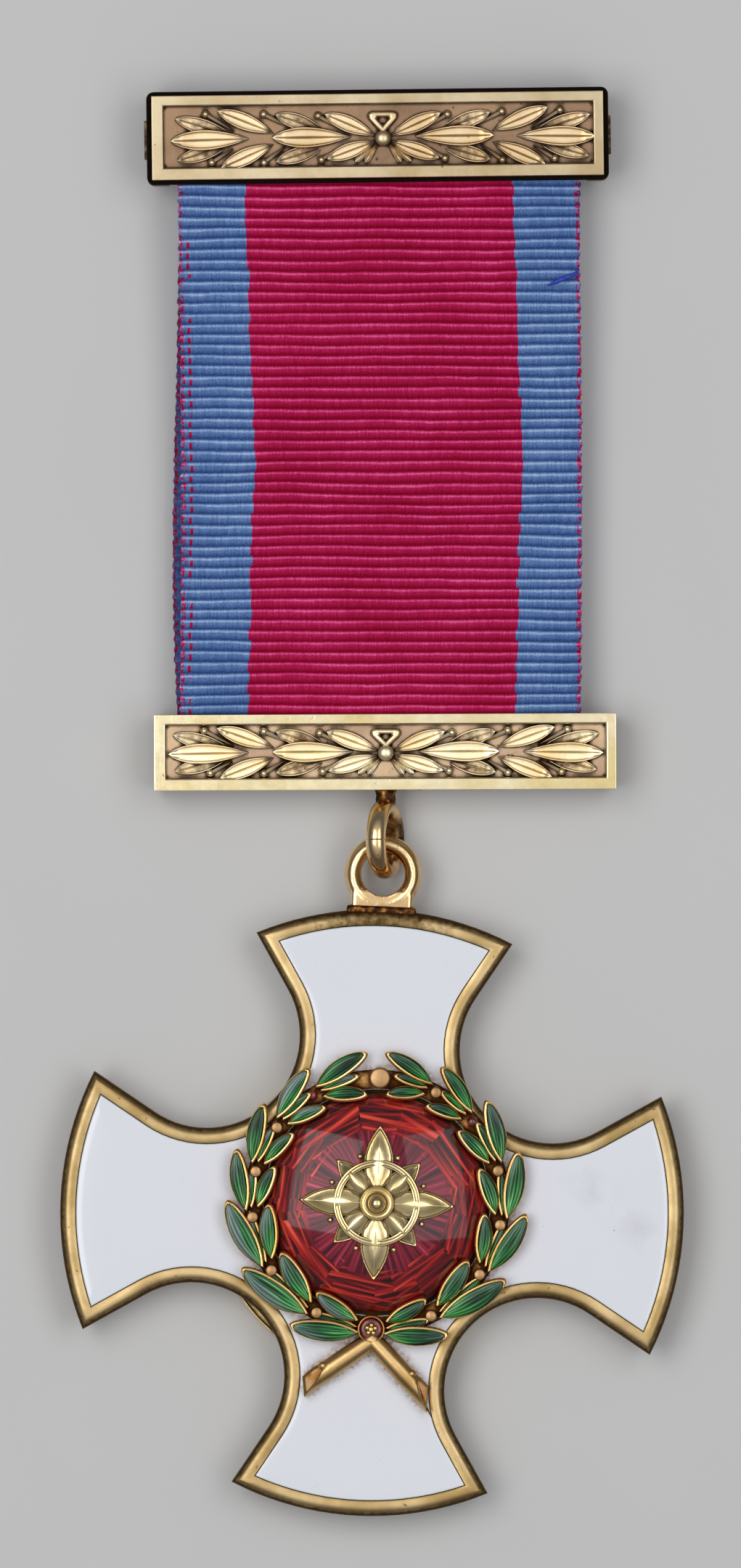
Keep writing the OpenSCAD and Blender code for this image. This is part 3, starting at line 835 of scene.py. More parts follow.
def front_enamel():
    """White enamel, level in the middle and drawn down at its edge."""
    top = FACE_Z - 0.06
    rows = [(1.11, -0.40), (1.11, -0.035), (1.14, -0.012), (1.24, 0.003), (1.6, 0.03), (2.4, 0.055),
            (3.4, 0.065)]
    sheet = loft([ring_at(inset, top + height) for inset, height in rows])
    flat(cut(sheet, drum(DOME_R + 0.3, 0, 10, SEAT_AT, 96)))
    finish(sheet, "face_enamel", cross_frame, WHITE, ["front_enamel"])


# Centre


def dome_drop(radius):
    return DOME_CURVE - math.sqrt(DOME_CURVE**2 - radius**2)


def red_dome():
    profile = [(DOME_R * i / 24, PEAK_Z - dome_drop(DOME_R * i / 24)) for i in range(25)]
    dome = lathe(profile + [(DOME_R, DOME_Z), (0, DOME_Z)], 128)
    finish(dome, "centre_enamel", centre_frame, RED_CENTRE, ["red_centre"], smooth=50)


# Wreath


def lens(length, width, inset=0.0, aside=0.0, bow=0.0, blunt=1.0, points=12):
    """Leaf outline drawn in by the inset and set aside: its base at the origin, its tip along +X, and its
    middle bowed to one side. Below 1, blunt rounds the tip."""
    half = max(width / 2 - inset, 0.01)
    loop = []
    for i in range(2 * points):
        run = math.cos(math.pi * i / points)
        x = run * (length / 2 - 1.8 * inset)
        y = half * (1 - run * run) ** (blunt if run > 0 else 0.95)
        y = y if i <= points else -y
        loop.append((x + length / 2, y + aside + bow * (1 - (2 * x / length) ** 2)))
    return loop


def lens_solid(length, width, rows, aside=0.0, bow=0.0, blunt=1.0):
    """Solid through lens outlines; rows are an inset, a height and a share of the offset aside."""
    return loft([[(x, y, z) for x, y in lens(length, width, inset, aside * share, bow, blunt)]
                 for inset, z, share in rows])


LEAF_ROWS = [(0.0, 0.0, 0), (0.0, 0.42, 0), (0.03, 0.53, 0), (0.07, 0.59, 0.4), (0.1, 0.6, 0.7),
             (0.15, 0.58, 1), (0.18, 0.52, 1), (0.19, 0.36, 1), (0.19, 0.25, 1)]
LEAF_BORDER = 0.19
LEAF_ASIDE = 0.07
LEAF_BOW = 0.16
LEAF_BLUNT = 0.58
LEAF_TILT = 2.0
# Leaf groups up each branch: the angles at which they spring and end, counted from the wreath's foot
BRANCHES = {
    -1: [(4.7, 33.3), (28.8, 61.9), (57.4, 88.6), (83.5, 108.7), (104.5, 129.0), (127.0, 151.0),
         (149.0, 174.0)],
    1: [(5.0, 31.5), (30.8, 62.1), (60.3, 88.5), (85.0, 112.9), (110.0, 136.0), (135.5, 157.5),
        (157.0, 179.5)],
}
# Radii at which the outer, the middle and the inner leaf of a group spring and end
OUTER_R = (8.95, 10.35)
MIDDLE_R = (8.6, 8.78)
INNER_R = (8.2, 7.42)
BERRY_R = 8.62
KNOT_AT = Vector((0, -8.7))


def on_wreath(side, radius, angle):
    a = math.radians(angle)
    return Vector((side * radius * math.sin(a), -radius * math.cos(a)))


def leaf_places():
    """Side, start, end, width and height of each enamelled leaf: outer, middle and inner of every group."""
    for side, pairs in BRANCHES.items():
        for root, ending in pairs:
            outer = on_wreath(side, OUTER_R[0], root), on_wreath(side, OUTER_R[1], ending)
            yield side, *outer, 0.31 * (outer[1] - outer[0]).length, LEAF_Z
            centre = on_wreath(side, MIDDLE_R[0], root + 1), on_wreath(side, MIDDLE_R[1], ending - 4)
            yield side, *centre, 0.9, LEAF_Z - 0.16
            inner = on_wreath(side, INNER_R[0], root + 1), on_wreath(side, INNER_R[1], ending - 1)
            yield side, *inner, 0.35 * (inner[1] - inner[0]).length, LEAF_Z - 0.04


def wreath_leaf(side, start, end, width, height, rows, number=None):
    """One leaf's frame, or with a number its enamel, which is charted, in its place on the wreath."""
    length = (end - start).length
    piece = lens_solid(length, width, rows, -side * LEAF_ASIDE, -side * LEAF_BOW, LEAF_BLUNT)
    if number is not None:
        chart(piece, length, width, 2 * number)
    return move(piece, lying(start, end, height) @ spun(-LEAF_TILT, "Y"))


def leaf_enamels(name, node_name, which):
    glazes = []
    for number, (side, start, end, width, height) in enumerate(leaf_places()):
        if side != which:
            continue
        room = width / 2 - LEAF_BORDER
        rows = [(LEAF_BORDER - 0.01, 0.27, 1), (LEAF_BORDER - 0.01, 0.47, 1)]
        rows += [(LEAF_BORDER + room * share, 0.47 + rise, 1) for share, rise in
                 ((0.1, 0.03), (0.3, 0.06), (0.6, 0.085), (0.9, 0.09))]
        glazes.append(wreath_leaf(side, start, end, width, height, rows, number))
    finish(join(glazes), name, centre_frame, GREEN, [node_name], smooth=50)


def chart(piece, length, width, aside):
    """Maps a leaf: along it from 0 at its base to 1, and across it from edge to edge, -1 to 1. Each leaf's map
    is set aside by an even number, so that no two have the same streaks."""
    layer = piece.data.uv_layers.new(name="along")
    for corner in piece.data.loops:
        point = piece.data.vertices[corner.vertex_index].co
        t = min(max(point.x / length, 0.0), 1.0)
        half = max(width / 2 * (1 - (2 * t - 1) ** 2), 0.05)
        layer.data[corner.index].uv = (t + aside, min(max(point.y / half, -1.2), 1.2))


def wreath_band():
    """Gold ring under the leaves, beaten uneven where it shows between them."""
    band = lathe([(7.85, 0), (9.15, 0), (9.15, 0.42), (9.0, 0.56), (8.6, 0.66), (8.1, 0.62), (7.85, 0.48),
                  (7.85, 0)], 96)
    return move(coated(band, BAND_GOLD), at(0, 0, WREATH_Z))


def button(radius, top):
    """Round berry with a domed head."""
    return lathe([(0, top), (radius * 0.4, top - 0.03), (radius * 0.75, top - 0.11),
                  (radius * 0.95, top - 0.22), (radius, top - 0.34), (radius, 0), (0, 0)], 20)


def stud(radius, top):
    """Flat berry with a soft edge."""
    return flat(lathe([(0, top), (radius * 0.76, top - 0.01), (radius * 0.9, top - 0.04),
                       (radius * 0.98, top - 0.1), (radius, top - 0.2), (radius, 0), (0, 0)], 20))


def berries():
    made = []
    for side, pairs in BRANCHES.items():
        for number, (root, _) in enumerate(pairs[1:], 1):
            if (side, number) in ((-1, 6), (1, 5)):
                lost = lathe([(0, 0.98), (0.2, 0.96), (0.32, 0.86), (0.36, 0.7), (0.36, 0), (0, 0)], 16)
                piece = coated(lost, RED)
            else:
                piece = coated(stud(0.41, 1.24 + 0.03 * math.sin(number * 5.0 + side)), BERRY_GOLD)
            made.append(move(piece, at(*on_wreath(side, BERRY_R, root - 2.6), WREATH_Z)))
    made.append(move(coated(stud(0.74, 1.3), BERRY_GOLD), at(*on_wreath(1, 8.6, 181.2), WREATH_Z)))
    return made


def knot():
    """Dark gold cup with a flower standing in its middle."""
    cup = lathe([(0, 0.95), (0.74, 0.95), (0.78, 1.3), (0.84, 1.38), (0.9, 1.36), (0.96, 1.24), (1.0, 0.9),
                 (1.0, 0), (0, 0)], 40)
    parts = [lathe([(0, 1.56), (0.12, 1.54), (0.17, 1.46), (0.22, 1.36), (0.22, 0.9), (0, 0.9)], 14)]
    for number in range(5):
        petal_bead = lathe([(0, 0.22), (0.1, 0.21), (0.17, 0.15), (0.2, 0.05), (0.19, 0), (0, 0)], 12)
        turn = Matrix.Rotation(math.tau * number / 5 + 0.3, 4, "Z")
        parts.append(move(petal_bead, turn @ at(0.29, 0, 1.31)))
    flower = [coated(part, WREATH_GOLD) for part in parts]
    return move(join([coated(cup, BAND_GOLD)] + flower), at(*KNOT_AT, WREATH_Z))


# Of each stem: where its axis ends, how its end leans, and where the slice would meet the axis
STEM_ENDS = {1: (5.55, 0.95, 5.85), -1: (5.4, -0.55, 5.3)}


def stem(side):
    """Cut twig with a bud: its end is cut upright, then sliced aslant on one side and hollowed a little."""
    root, degrees = STEMS[side]
    end_at, end_lean, cut_at = STEM_ENDS[side]
    slope = Vector((0.35, side * 0.62, 0.7)).normalized()
    twig = lathe([(0, -0.3), (0.6, -0.3), (0.66, 0.4), (0.69, 2.0), (0.72, 3.2), (0.68, 3.9), (0.7, 6.8),
                  (0, 6.8)], 28)
    coated(move(twig, spun(90, "Y")), STEM_GOLD, CUT_FACE)
    focus(twig)
    for place, normal in ((end_at, (1, end_lean, 0)), (cut_at, slope)):
        select_all()
        bpy.ops.mesh.bisect(plane_co=(place, 0, 0), plane_no=normal, clear_outer=True, use_fill=True)
    pick("FACE", lambda p, n: n.dot(slope) > 0.99)
    bpy.ops.mesh.inset(thickness=0.14)
    bpy.ops.mesh.inset(thickness=0.04, depth=-0.08)
    twig.active_material_index = 1
    bpy.ops.object.material_slot_assign()
    leave()
    bud = coated(ball(0.32, (3.5, side * 0.42, 0.36)), STEM_GOLD)
    return move(join([twig, bud]), turned((*root, WREATH_Z + 0.75), degrees))


def wreath():
    frames = [coated(wreath_leaf(*place, LEAF_ROWS), WREATH_GOLD) for place in leaf_places()]
    whole = join(frames + [wreath_band(), knot()] + berries() + [stem(-1), stem(1)])
    finish(whole, "laurel_wreath", centre_frame, None, ["wreath"], smooth=40)


def knot_enamel():
    ring = lathe([(0.3, 1.0), (0.74, 1.0), (0.74, 1.2), (0.66, 1.26), (0.5, 1.29), (0.36, 1.27), (0.3, 1.2),
                  (0.3, 1.0)], 40)
    move(ring, at(*KNOT_AT, WREATH_Z))
    finish(ring, "knot_red", centre_frame, RED, ["knot_enamel"])


# Rosette on the red centre

PETAL_ROWS = [(0.0, -0.3, 0), (0.0, 0.3, 0), (0.03, 0.38, 0), (0.08, 0.42, 0), (0.14, 0.4, 0), (0.2, 0.33, 0)]


def petal(length, width, turn):
    room = width / 2 - 0.2
    rows = PETAL_ROWS + [(0.2 + room * share, 0.33 + rise, 0) for share, rise in
                         ((0.15, 0.03), (0.4, 0.12), (0.7, 0.2), (0.92, 0.24))]
    return move(lens_solid(length, width, rows), spun(turn) @ at(0, 0, PEAK_Z) @ spun(7.5, "Y"))


def rosette():
    parts = [petal(4.1, 1.7, 45 + 90 * i) for i in range(4)] + [petal(5.4, 2.1, 90 * i) for i in range(4)]
    band = [(2.5, -0.2), (3.0, -0.2), (3.0, 0.28), (2.95, 0.38), (2.88, 0.4), (2.8, 0.34), (2.7, 0.34),
            (2.62, 0.4), (2.55, 0.38), (2.5, 0.28), (2.5, -0.2)]
    parts.append(move(lathe(band, 96), at(0, 0, PEAK_Z - dome_drop(2.75))))
    boss = [(0, 0.98), (0.55, 0.9), (0.8, 0.72), (0.86, 0.6), (0.95, 0.6), (1.05, 0.66), (1.15, 0.62),
            (1.2, 0.5), (1.2, -0.1), (0, -0.1)]
    parts.append(move(lathe(boss, 48), at(0, 0, PEAK_Z)))
    for number in range(8):
        place = spun(22.5 + 45 * number) @ at(3.42, 0, PEAK_Z - dome_drop(3.4) + 0.12)
        parts.append(move(ball(0.2, (0, 0, 0), 12, 8), place))
    parts.append(move(ball(0.62, (0, 0, 0), 32, 16), at(0, 0, PEAK_Z + 0.88)))
    finish(join(parts), "rosette", centre_frame, ROSETTE_GOLD, ["centre_ornament"], smooth=40)


# Bars

TOP_SIZE = (31.1, 5.8)
LOW_SIZE = (31.85, 5.25)
PLATE_Z = 2.7
PANEL_Z = PLATE_Z + 0.5
FACE_UP = PANEL_Z + 0.4
SLOT_W = 28.7
# Leaves of one half of a bar's relief, from its middle: columns are where the leaf springs, where it ends,
# its width and its height above the panel
RELIEF = [
    ((4.0, 0.55), (7.4, 1.66), 1.10, -0.2), ((4.0, -0.55), (7.4, -1.52), 1.10, -0.2),
    ((10.4, 0.35), (14.3, 1.45), 1.10, -0.2), ((10.6, -0.50), (14.2, -1.55), 1.05, -0.2),
    ((0.5, 0.15), (3.95, 1.58), 1.15, 0.04), ((0.5, -0.20), (3.85, -1.38), 1.10, 0.04),
    ((7.5, 0.20), (11.3, 1.62), 1.20, 0.04), ((7.5, -0.10), (11.1, -1.55), 1.20, 0.04),
    ((2.2, 0.10), (7.6, 0.10), 1.45, 0.13), ((9.2, 0.05), (14.6, -0.05), 1.42, 0.13),
]
# Berries of one half: where each stands and where its stalk comes from
STALKS = [
    ((4.45, 1.55), (2.9, 0.65)), ((4.25, -1.40), (3.0, -0.65)), ((8.2, 1.70), (6.3, 0.75)),
    ((8.2, -1.55), (6.7, -0.50)), ((12.2, 1.75), (10.2, 0.55)), ((11.8, -1.50), (10.3, -0.60)),
]
RELIEF_ACROSS = [(1.0, 0.06), (0.98, 0.25), (0.92, 0.33), (0.85, 0.33), (0.77, 0.22), (0.68, 0.15),
                 (0.4, 0.12), (0.14, 0.13), (0.06, 0.21), (0.0, 0.23)]


def relief(masters, size):
    """Two sprigs of laurel out from a tied band, standing on the panel."""
    stretch = (size[0] - 1.4) / 29.7
    rise = (size[1] - 1.5) / 4.2
    made = []

    def laid(master, start, end, height, length=3.0, tilt=0.0):
        """A copy of a leaf from start to end, its own length stretched to fit."""
        grown = Matrix.Diagonal(((end - start).length / length, 1, 1, 1))
        return copy(masters[master], lying(start, end, height) @ spun(-tilt, "Y") @ grown)

    for side in (1, -1):

        def spot(place):
            return Vector((side * place[0] * stretch, place[1] * rise))

        for root, point, width, height in RELIEF:
            start, end = spot(root), spot(point)
            broad = width > 1.3
            grown = laid("broad" if broad else "slim", start, end, PANEL_Z + height,
                         tilt=3.0 if height < 0 else 0.0)
            line = lying(start, end)
            share = width / (1.45 if broad else 1.1)
            made.append(move(grown, line @ Matrix.Diagonal((1, share, 1, 1)) @ line.inverted()))
        for place, root in STALKS:
            made.append(move(button(0.29, 0.42), at(*spot(place), PANEL_Z)))
            made.append(laid("stalk", spot(root), spot(place), PANEL_Z + 0.16, 1.0))
        for foot in ((1.95, -1.6), (1.25, -1.65)):
            made.append(laid("tail", Vector((side * 0.25, -0.2)), Vector((side * foot[0], foot[1] * rise)),
                             PANEL_Z))
    made.append(move(ribbon_bow(), at(0, 0.35, PANEL_Z) @ Matrix.Scale(rise, 4, (0, 1, 0))))
    made.append(move(button(0.55, 0.62), at(0, 0, PANEL_Z)))
    return made


def ribbon_bow():
    """Three-cornered loop over the knot of a bar's relief."""
    corners = [(0.0, -0.1), (-1.02, 1.0), (-1.05, 1.3), (-0.85, 1.45), (0.85, 1.45), (1.05, 1.3), (1.02, 1.0)]
    rows = [(1.0, -0.1), (1.0, 0.24), (0.9, 0.38), (0.72, 0.42), (0.5, 0.38), (0.38, 0.24), (0.38, -0.1)]
    loops = [[(x * reach, 0.85 + (y - 0.85) * reach, z) for x, y in corners] for reach, z in rows]
    return soften(loft(loops + [loops[0]], ends=False), 0.05, 2)


def relief_masters():
    flat_strip = [(1.0, 0.06), (0.9, 0.2), (0.7, 0.22), (0.3, 0.14), (0.0, 0.12)]
    return {
        "broad": leaf(3.0, 1.45, RELIEF_ACROSS, widest=0.6, blunt=0.74),
        "slim": leaf(3.0, 1.1, RELIEF_ACROSS, widest=0.56, blunt=0.74),
        "tail": leaf(3.0, 0.42, flat_strip, widest=0.8, columns=10),
        "stalk": leaf(1.0, 0.3, [(1.0, 0.0), (0.6, 0.12), (0.0, 0.16)], widest=0.85, columns=8),
    }


def framed_plate(size, gold, ground):
    """Front plate: its face is inset, sloped in and sunk to the panel, whose ground has its own finish."""
    plate = block((size[0], size[1], FACE_UP - PLATE_Z), (0, 0, (FACE_UP + PLATE_Z) / 2))
    coated(plate, gold, ground)
    focus(plate)
    pick("FACE", lambda p, n: n.z > 0.9)
    bpy.ops.mesh.inset(thickness=0.7)
    scale(1.0, 0.985, 1)
    shift(x=0.05, y=0.06)
    bpy.ops.mesh.inset(thickness=0.07, depth=-0.1)
    extrude(PANEL_Z - FACE_UP + 0.1)
    plate.active_material_index = 1
    bpy.ops.object.material_slot_assign()
    leave()
    return soften(plate, 0.07, 2)


def bar(size, closed, rod_dy, relief_at, masters, gold, ground, raised_gold):
    """Bar with its frame, relief, end walls, one closed long side and the flat rod that holds the ribbon."""
    w, h = size
    end_w = (w - SLOT_W) / 2
    step = 0.03
    parts = [framed_plate(size, gold, ground)]
    wall_h, wall_z = PLATE_Z + 0.1, PLATE_Z / 2 + 0.05
    walls = [block((end_w, h - 4 * step, wall_h), (s * ((w - end_w) / 2 - step), 0, wall_z)) for s in (-1, 1)]
    walls.append(block((w - 4 * step, 0.6, wall_h), (0, closed * (h / 2 - 0.3 - step), wall_z)))
    walls.append(block((w - 0.6, 1.9, 0.5), (0, rod_dy, 1.35)))
    parts += [coated(soften(wall, 0.05, 1), gold) for wall in walls]
    raised = outwards(join(relief(masters, size)))
    raised.data.materials.clear()
    parts.append(move(coated(raised, raised_gold), at(*relief_at)))
    return parts


def skirt():
    """Wider base under the brooch bar's face, open below for the ribbon."""
    w, h = TOP_SIZE[0] + 0.7, TOP_SIZE[1] + 0.6
    base = block((w, h, PLATE_Z + 0.3), (0, 0, (PLATE_Z + 0.3) / 2))
    focus(base)
    pick("EDGE", lambda p: abs(p.x) > w / 2 - 0.01 and abs(p.y) > h / 2 - 0.01)
    bpy.ops.mesh.bevel(offset=0.5, segments=5)
    leave()
    cut(base, block((SLOT_W, h * 1.5 - 0.6, PLATE_Z * 2), (0, -h / 4 - 0.3, 0)))
    return coated(soften(base, 0.12, 2), SHADED_SKIRT)


def brooch_bar(masters):
    parts = bar(TOP_SIZE, 1, -0.55, (0.37, -0.17), masters, TOP_GOLD, TOP_GROUND, TOP_RELIEF)
    finish(join([skirt()] + parts), "laurel_brooch_bar", top_frame, None, ["top_bar"])


# Jump ring, seen from above as a short band under the lower bar
RING_AT = Vector((0.89, -2.575, 2.8))
RING_R = 2.75
RING_WIRE = 1.1
RING_WIDE = 1.4
RING_TURN = 17


def jump_ring():
    wire = RING_WIRE / 2
    ring = add("torus", major_radius=RING_R - wire, minor_radius=wire, major_segments=96, minor_segments=28)
    move(ring, Matrix.Diagonal((1, 1, RING_WIDE / RING_WIRE, 1)))
    cut(ring, block((2, 0.09, 3), (RING_R - wire, 0, 0)))
    return coated(move(ring, at(*RING_AT) @ spun(-RING_TURN, "Y") @ spun(-90, "Y")), RING_GOLD)


def solder_neck():
    """Short neck between ring and bar, melted out to a foot at both ends."""
    top = RING_AT.y + RING_R - 0.4
    length = LOW_AT.y - LOW_SIZE[1] / 2 + 0.1 - top
    neck = lathe([(0, 0), (0.6, 0), (0.68, 0.14), (0.7, 0.4), (0.66, length * 0.6), (0.74, length - 0.15),
                  (0.92, length), (0, length)], 32)
    return coated(move(neck, at(RING_AT.x + 0.05, top, RING_AT.z) @ spun(-90, "X")), SOLDER)


def lower_bar(masters):
    parts = bar(LOW_SIZE, -1, 0.6, (0.05, -0.06), masters, LOW_GOLD, LOW_GROUND, LOW_RELIEF)
    whole = join([move(part, low_frame) for part in parts] + [jump_ring(), solder_neck()])
    finish(whole, "laurel_lower_bar", Matrix(), None, ["bottom_bar"])


# Brooch pin behind the upper bar


def brooch_pin():
    reach = (TOP_SIZE[0] + 0.7) / 2 + 0.2
    seat_w, seat_h, room = 2.6, 2.7, 1.9
    parts = []
    for side in (-1, 1):
        x = side * (reach - seat_w / 2)
        parts.append(soften(block((seat_w, seat_h, 0.6), (x, 0, room - 0.3)), 0.08, 2))
        parts.append(soften(block((1.2, seat_h, room - 0.7), (x, 0, room / 2 - 0.15)), 0.06, 2))
    hinge_x = -reach + seat_w / 2
    knuckle = [(0, 0), (0.66, 0), (0.75, 0.09), (0.75, 0.82), (0.7, 0.88), (0.7, 0.92), (0.75, 0.98),
               (0.75, 1.72), (0.7, 1.78), (0.7, 1.82), (0.75, 1.88), (0.75, 2.61), (0.66, 2.7), (0, 2.7)]
    for x in (hinge_x, -hinge_x):
        parts.append(move(lathe(knuckle, 32), at(x, seat_h / 2, 0.75) @ spun(90, "X")))
    length = 2 * reach - seat_w
    pin = lathe([(0, 0), (0.45, 0), (0.45, length * 0.6), (0.4, length * 0.85), (0.3, length),
                 (0, length)], 24)
    parts.append(move(pin, at(hinge_x, 0, 0.75) @ spun(90, "Y")))
    place = turned((TOP_AT.x, TOP_AT.y, 0), TOP_TURN)
    finish(join(parts), "pin_and_catch", place, TOP_GOLD, ["brooch_pin"])


# Ribbon

RIBBON_X = 0.55
CLOTH_T = 1.0
LOOP_IN = 0.6
SAG = 0.5
TOP_ROD_Y = TOP_AT.y - 0.55
LOW_ROD_Y = LOW_AT.y + 0.6
ROD_W = 1.9
SLACK = 0.25
BAND_LOW_Z = LOW_AT.z + 0.05 + (2 * CLOTH_T + LOOP_IN) / 2
BAND_TOP_Z = TOP_AT.z + 0.05 + (2 * CLOTH_T + LOOP_IN) / 2
RIB = 0.73
RIB_ROWS = 6
RIB_RISE = 0.15
CLOTH = 0.62
# Points along each stretch of the band's path, and round each rod
STRETCH_STEPS = 120
ROD_STEPS = 16


def free_part(t):
    return min(max((t - 0.08) / 0.84, 0), 1)


def band_middle(t):
    s = free_part(t)
    y = LOW_ROD_Y - ROD_W / 2 - SLACK + (TOP_ROD_Y - LOW_ROD_Y + ROD_W + 2 * SLACK) * t
    return Vector((y, BAND_LOW_Z + (BAND_TOP_Z - BAND_LOW_Z) * s - SAG * math.sin(math.pi * s)))


def band_half(t):
    return CLOTH_T + LOOP_IN / 2 * (0.4 + 0.6 * abs(2 * free_part(t) - 1) ** 3)


def band_path():
    """The ribbon's outer face seen from its edge: up the back, over the upper rod, down the front, and
    round the lower rod."""
    stretch = [i / STRETCH_STEPS for i in range(STRETCH_STEPS + 1)]
    round_end = [math.radians(180 * i / ROD_STEPS) for i in range(1, ROD_STEPS)]
    reach = CLOTH_T + LOOP_IN / 2
    back = [band_middle(t) - Vector((0, band_half(t))) for t in stretch]
    over = [band_middle(1) + reach * Vector((math.sin(a), -math.cos(a))) for a in round_end]
    front = [band_middle(t) + Vector((0, band_half(t))) for t in reversed(stretch)]
    under = [band_middle(0) + reach * Vector((-math.sin(a), math.cos(a))) for a in round_end]
    return back + over + front + under


def walked(path):
    """Distances along a closed path of points."""
    marks = [0.0]
    for a, b in zip(path, path[1:] + path[:1]):
        marks.append(marks[-1] + (b - a).length)
    return marks


def on_path(path, marks, distance):
    """Point and outward direction at a distance along the closed path."""
    distance %= marks[-1]
    low, high = 0, len(marks) - 1
    while high - low > 1:
        centre = (low + high) // 2
        if marks[centre] <= distance:
            low = centre
        else:
            high = centre
    a, b = path[low], path[(low + 1) % len(path)]
    along_it = (distance - marks[low]) / (marks[low + 1] - marks[low])
    run = (b - a).normalized()
    return a.lerp(b, along_it), Vector((run.y, -run.x))


def rib_strip(pitch):
    """One cross rib of the cloth: a narrow grid, round on top and drawn in between the ribs."""
    strip = add("grid", x_subdivisions=34, y_subdivisions=RIB_ROWS, size=1)
    focus(strip)
    for row in range(RIB_ROWS + 1):
        share = row / RIB_ROWS
        pick("VERT", lambda p: abs(p.y - share + 0.5) < 0.001)
        shift(z=RIB_RISE * (abs(math.sin(math.pi * share**0.7)) ** 0.7 - 1))
        scale(1 - 0.006 * (1 - math.sin(math.pi * share)), 1, 1)
    select_all()
    shift(y=0.5)
    scale(RIBBON_W, pitch, 1)
    leave()
    return strip


def ribbon():
    path = band_path()
    marks = walked(path)
    total = marks[-1]
    ribs = round(total / RIB)
    pitch = total / ribs
    weave = cloth(pitch)
    band = rib_strip(pitch)
    modify(band, "ARRAY", count=ribs, use_relative_offset=False, use_constant_offset=True,
           constant_offset_displace=(0, pitch, 0), use_merge_vertices=True, merge_threshold=0.001)
    lay_along(band, path, marks)
    outwards(band)
    modify(band, "SOLIDIFY", thickness=CLOTH, offset=-1)
    whole = join([coated(band, weave), coated(loose_thread(), THREAD)])
    finish(whole, "ribbon_band", Matrix(), None, ["ribbon"], smooth=60)


def stripe_drift(down):
    """How far the long threads of the stripes have crept sideways, down the front from 0 to 1."""
    return 0.3 * math.sin(math.pi * down) - 0.3 + 0.2 * math.exp(-(((down - 0.5) / 0.08) ** 2))


def lay_along(band, path, marks):
    """Lays the straight strip round both rods, with the small unevenness of worn cloth."""
    focus(band)
    mesh = bmesh.from_edit_mesh(band.data)
    woven = mesh.loops.layers.uv.new("woven")
    back_to = marks[STRETCH_STEPS]
    front_from, front_to = marks[STRETCH_STEPS + ROD_STEPS], marks[2 * STRETCH_STEPS + ROD_STEPS]
    total = marks[-1]

    def down_front(s):
        return min(max((s - front_from) / (front_to - front_from), 0), 1)

    for face in mesh.faces:
        for corner in face.loops:
            x, s, _ = corner.vert.co
            drift = stripe_drift(down_front(s)) if abs(x) < 12 else 0
            corner[woven].uv = (x - drift, s)
    for vertex in mesh.verts:
        x, s, rise = vertex.co
        fade = min(s, total - s, 3) / 3
        on_front = down_front(s)
        bow = 0.2 * math.sin(math.pi * on_front) - 0.2 * (1 - on_front) * min(1, 30 * on_front)
        on_back = min(s / back_to, 1)
        slip = -0.5 * math.sin(math.pi * on_back**0.6) ** 2
        wave = noise.noise(Vector((x * 0.12, s * 0.35, 3.0))) * 0.16 * fade
        lump = noise.noise(Vector((x * 0.1, s * 0.12, 9.0))) * 0.1 * fade
        edge = max(abs(x) / (RIBBON_W / 2) - 0.93, 0) / 0.07
        tuft = noise.noise(Vector((s * 1.9, x * 0.02, 5.0))) * 0.16 * edge * fade
        place, out = on_path(path, marks, s + wave)
        place = place + out * (rise + min(lump, 0) - 0.02)
        vertex.co = (RIBBON_X + x + bow + slip + math.copysign(tuft, x), place.x, place.y)
    bmesh.update_edit_mesh(band.data)
    leave()


def loose_thread():
    """Pulled thread that lies over the ribbon's right edge."""
    knots = [(12.1, 35.55, 4.35), (12.7, 35.8, 4.6), (13.3, 36.1, 4.62), (13.8, 36.25, 4.6),
             (14.15, 36.45, 4.45), (14.05, 36.75, 4.4)]
    loops = []
    for number, knot_at in enumerate(knots):
        before = Vector(knots[max(number - 1, 0)])
        after = Vector(knots[min(number + 1, len(knots) - 1)])
        lie = (after - before).to_track_quat("Z", "Y")
        radius = 0.15 if 0 < number < len(knots) - 1 else 0.06
        loops.append([Vector(knot_at) + lie @ Vector((radius * math.cos(a), radius * math.sin(a), 0))
                      for a in (math.tau * k / 8 for k in range(8))])
    return loft(loops)


# Stage


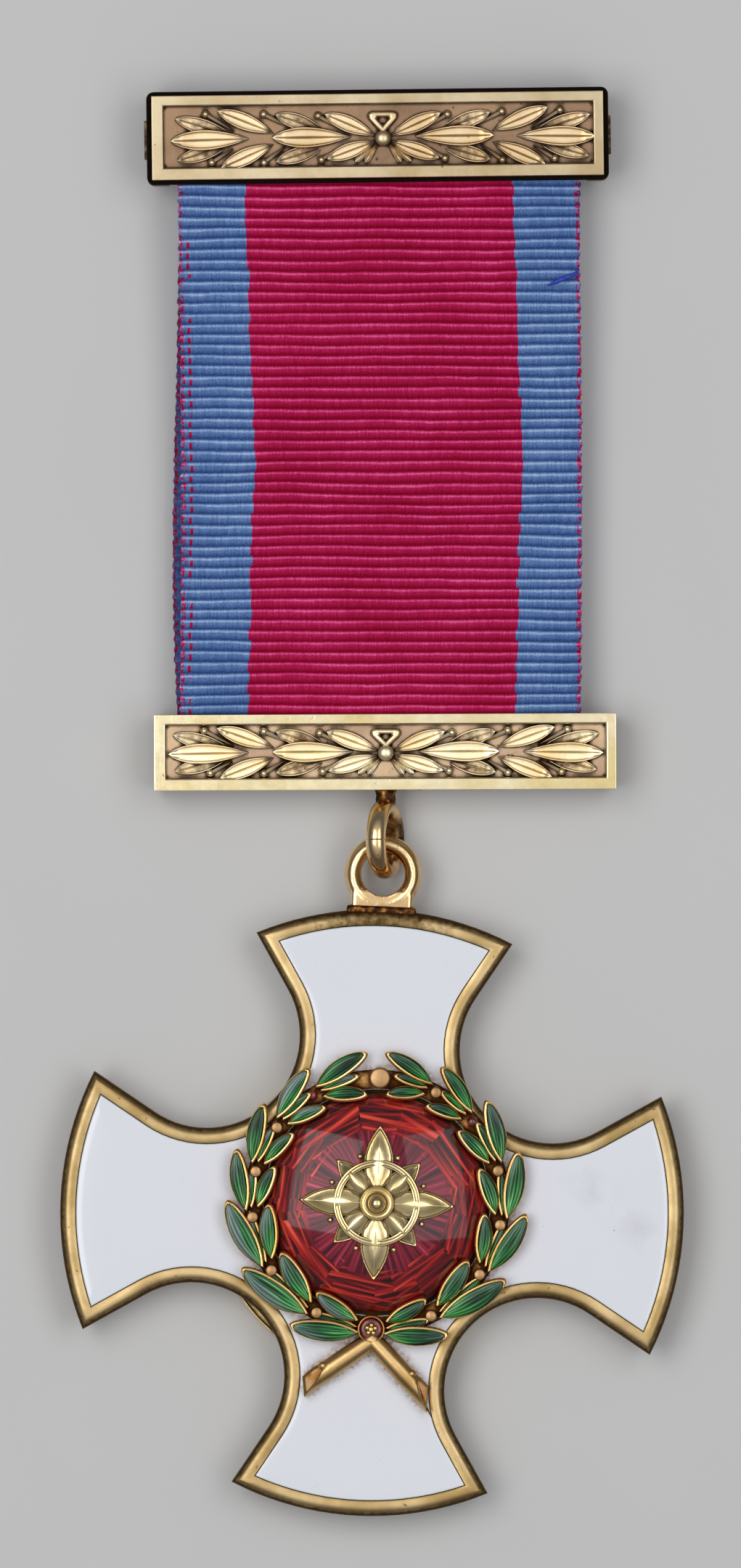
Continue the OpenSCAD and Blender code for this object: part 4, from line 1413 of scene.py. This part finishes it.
def stage():
    floor = add("plane", size=20, location=(0, 0, -0.00002))
    floor.name = "floor"
    made, place = finish_of("floor")
    mottle = put(place.tree, "TexNoise", {"Vector": place, "Scale": 60})
    dressed(made, {"Base Color": blend(mottle, tone("d8d7d4"), tone("dcdbd8")), "Roughness": 0.6})
    coated(floor, made)


def softbox(name, place, size, power):
    light = bpy.data.lights.new(name, "AREA")
    light.shape = "RECTANGLE"
    light.size, light.size_y = size
    light.energy = power
    lamp = bpy.data.objects.new(name, light)
    lamp.location = place
    lamp.rotation_euler = (Vector((0, 0, 0.004)) - Vector(place)).to_track_quat("-Z", "Y").to_euler()
    lamp.visible_camera = False
    bpy.context.scene.collection.objects.link(lamp)


def light_and_camera():
    softbox("key_left", (-0.165, 0.03, 0.42), (0.32, 0.20), 0.6)
    softbox("key_right", (0.19, 0.02, 0.42), (0.36, 0.18), 0.38)
    world = bpy.data.worlds.new("studio")
    world.use_nodes = True
    up = split(put(world.node_tree, "TexCoord", {}, give="Generated"))[2]
    background = world.node_tree.nodes["Background"]
    feed(background.inputs["Color"], ramp(up, 0.0, "6c6d72", 0.5, "58595e", 0.85, "b0b2b8", 1.0, "dcdee3"))
    feed(background.inputs["Strength"], 1.0)
    bpy.context.scene.world = world
    view_from = 1.2
    view_height = 0.108
    camera = bpy.data.cameras.new("camera")
    camera.sensor_width = 36
    camera.lens = camera.sensor_width * view_from / view_height
    camera.clip_start, camera.clip_end = 0.05, 50
    eye = bpy.data.objects.new("camera", camera)
    eye.location = (-0.000105, 0.001225, view_from + 0.004)
    bpy.context.scene.collection.objects.link(eye)
    bpy.context.scene.camera = eye
    bpy.context.scene.view_settings.view_transform = "Standard"


def carried_over():
    """The back's enamel is flat, so its own solid is kept and only finished."""
    back = bpy.data.objects["back_enamel"]
    back.data.materials.clear()
    coated(back, WHITE)


stage()
light_and_camera()
masters = relief_masters()
brooch_bar(masters)
brooch_pin()
ribbon()
lower_bar(masters)
for master in masters.values():
    bpy.data.objects.remove(master)
cross_body()
front_enamel()
carried_over()
wreath()
leaf_enamels("leaf_enamel_left", "wreath_enamel_left", -1)
leaf_enamels("leaf_enamel_right", "wreath_enamel_right", 1)
knot_enamel()
red_dome()
rosette()
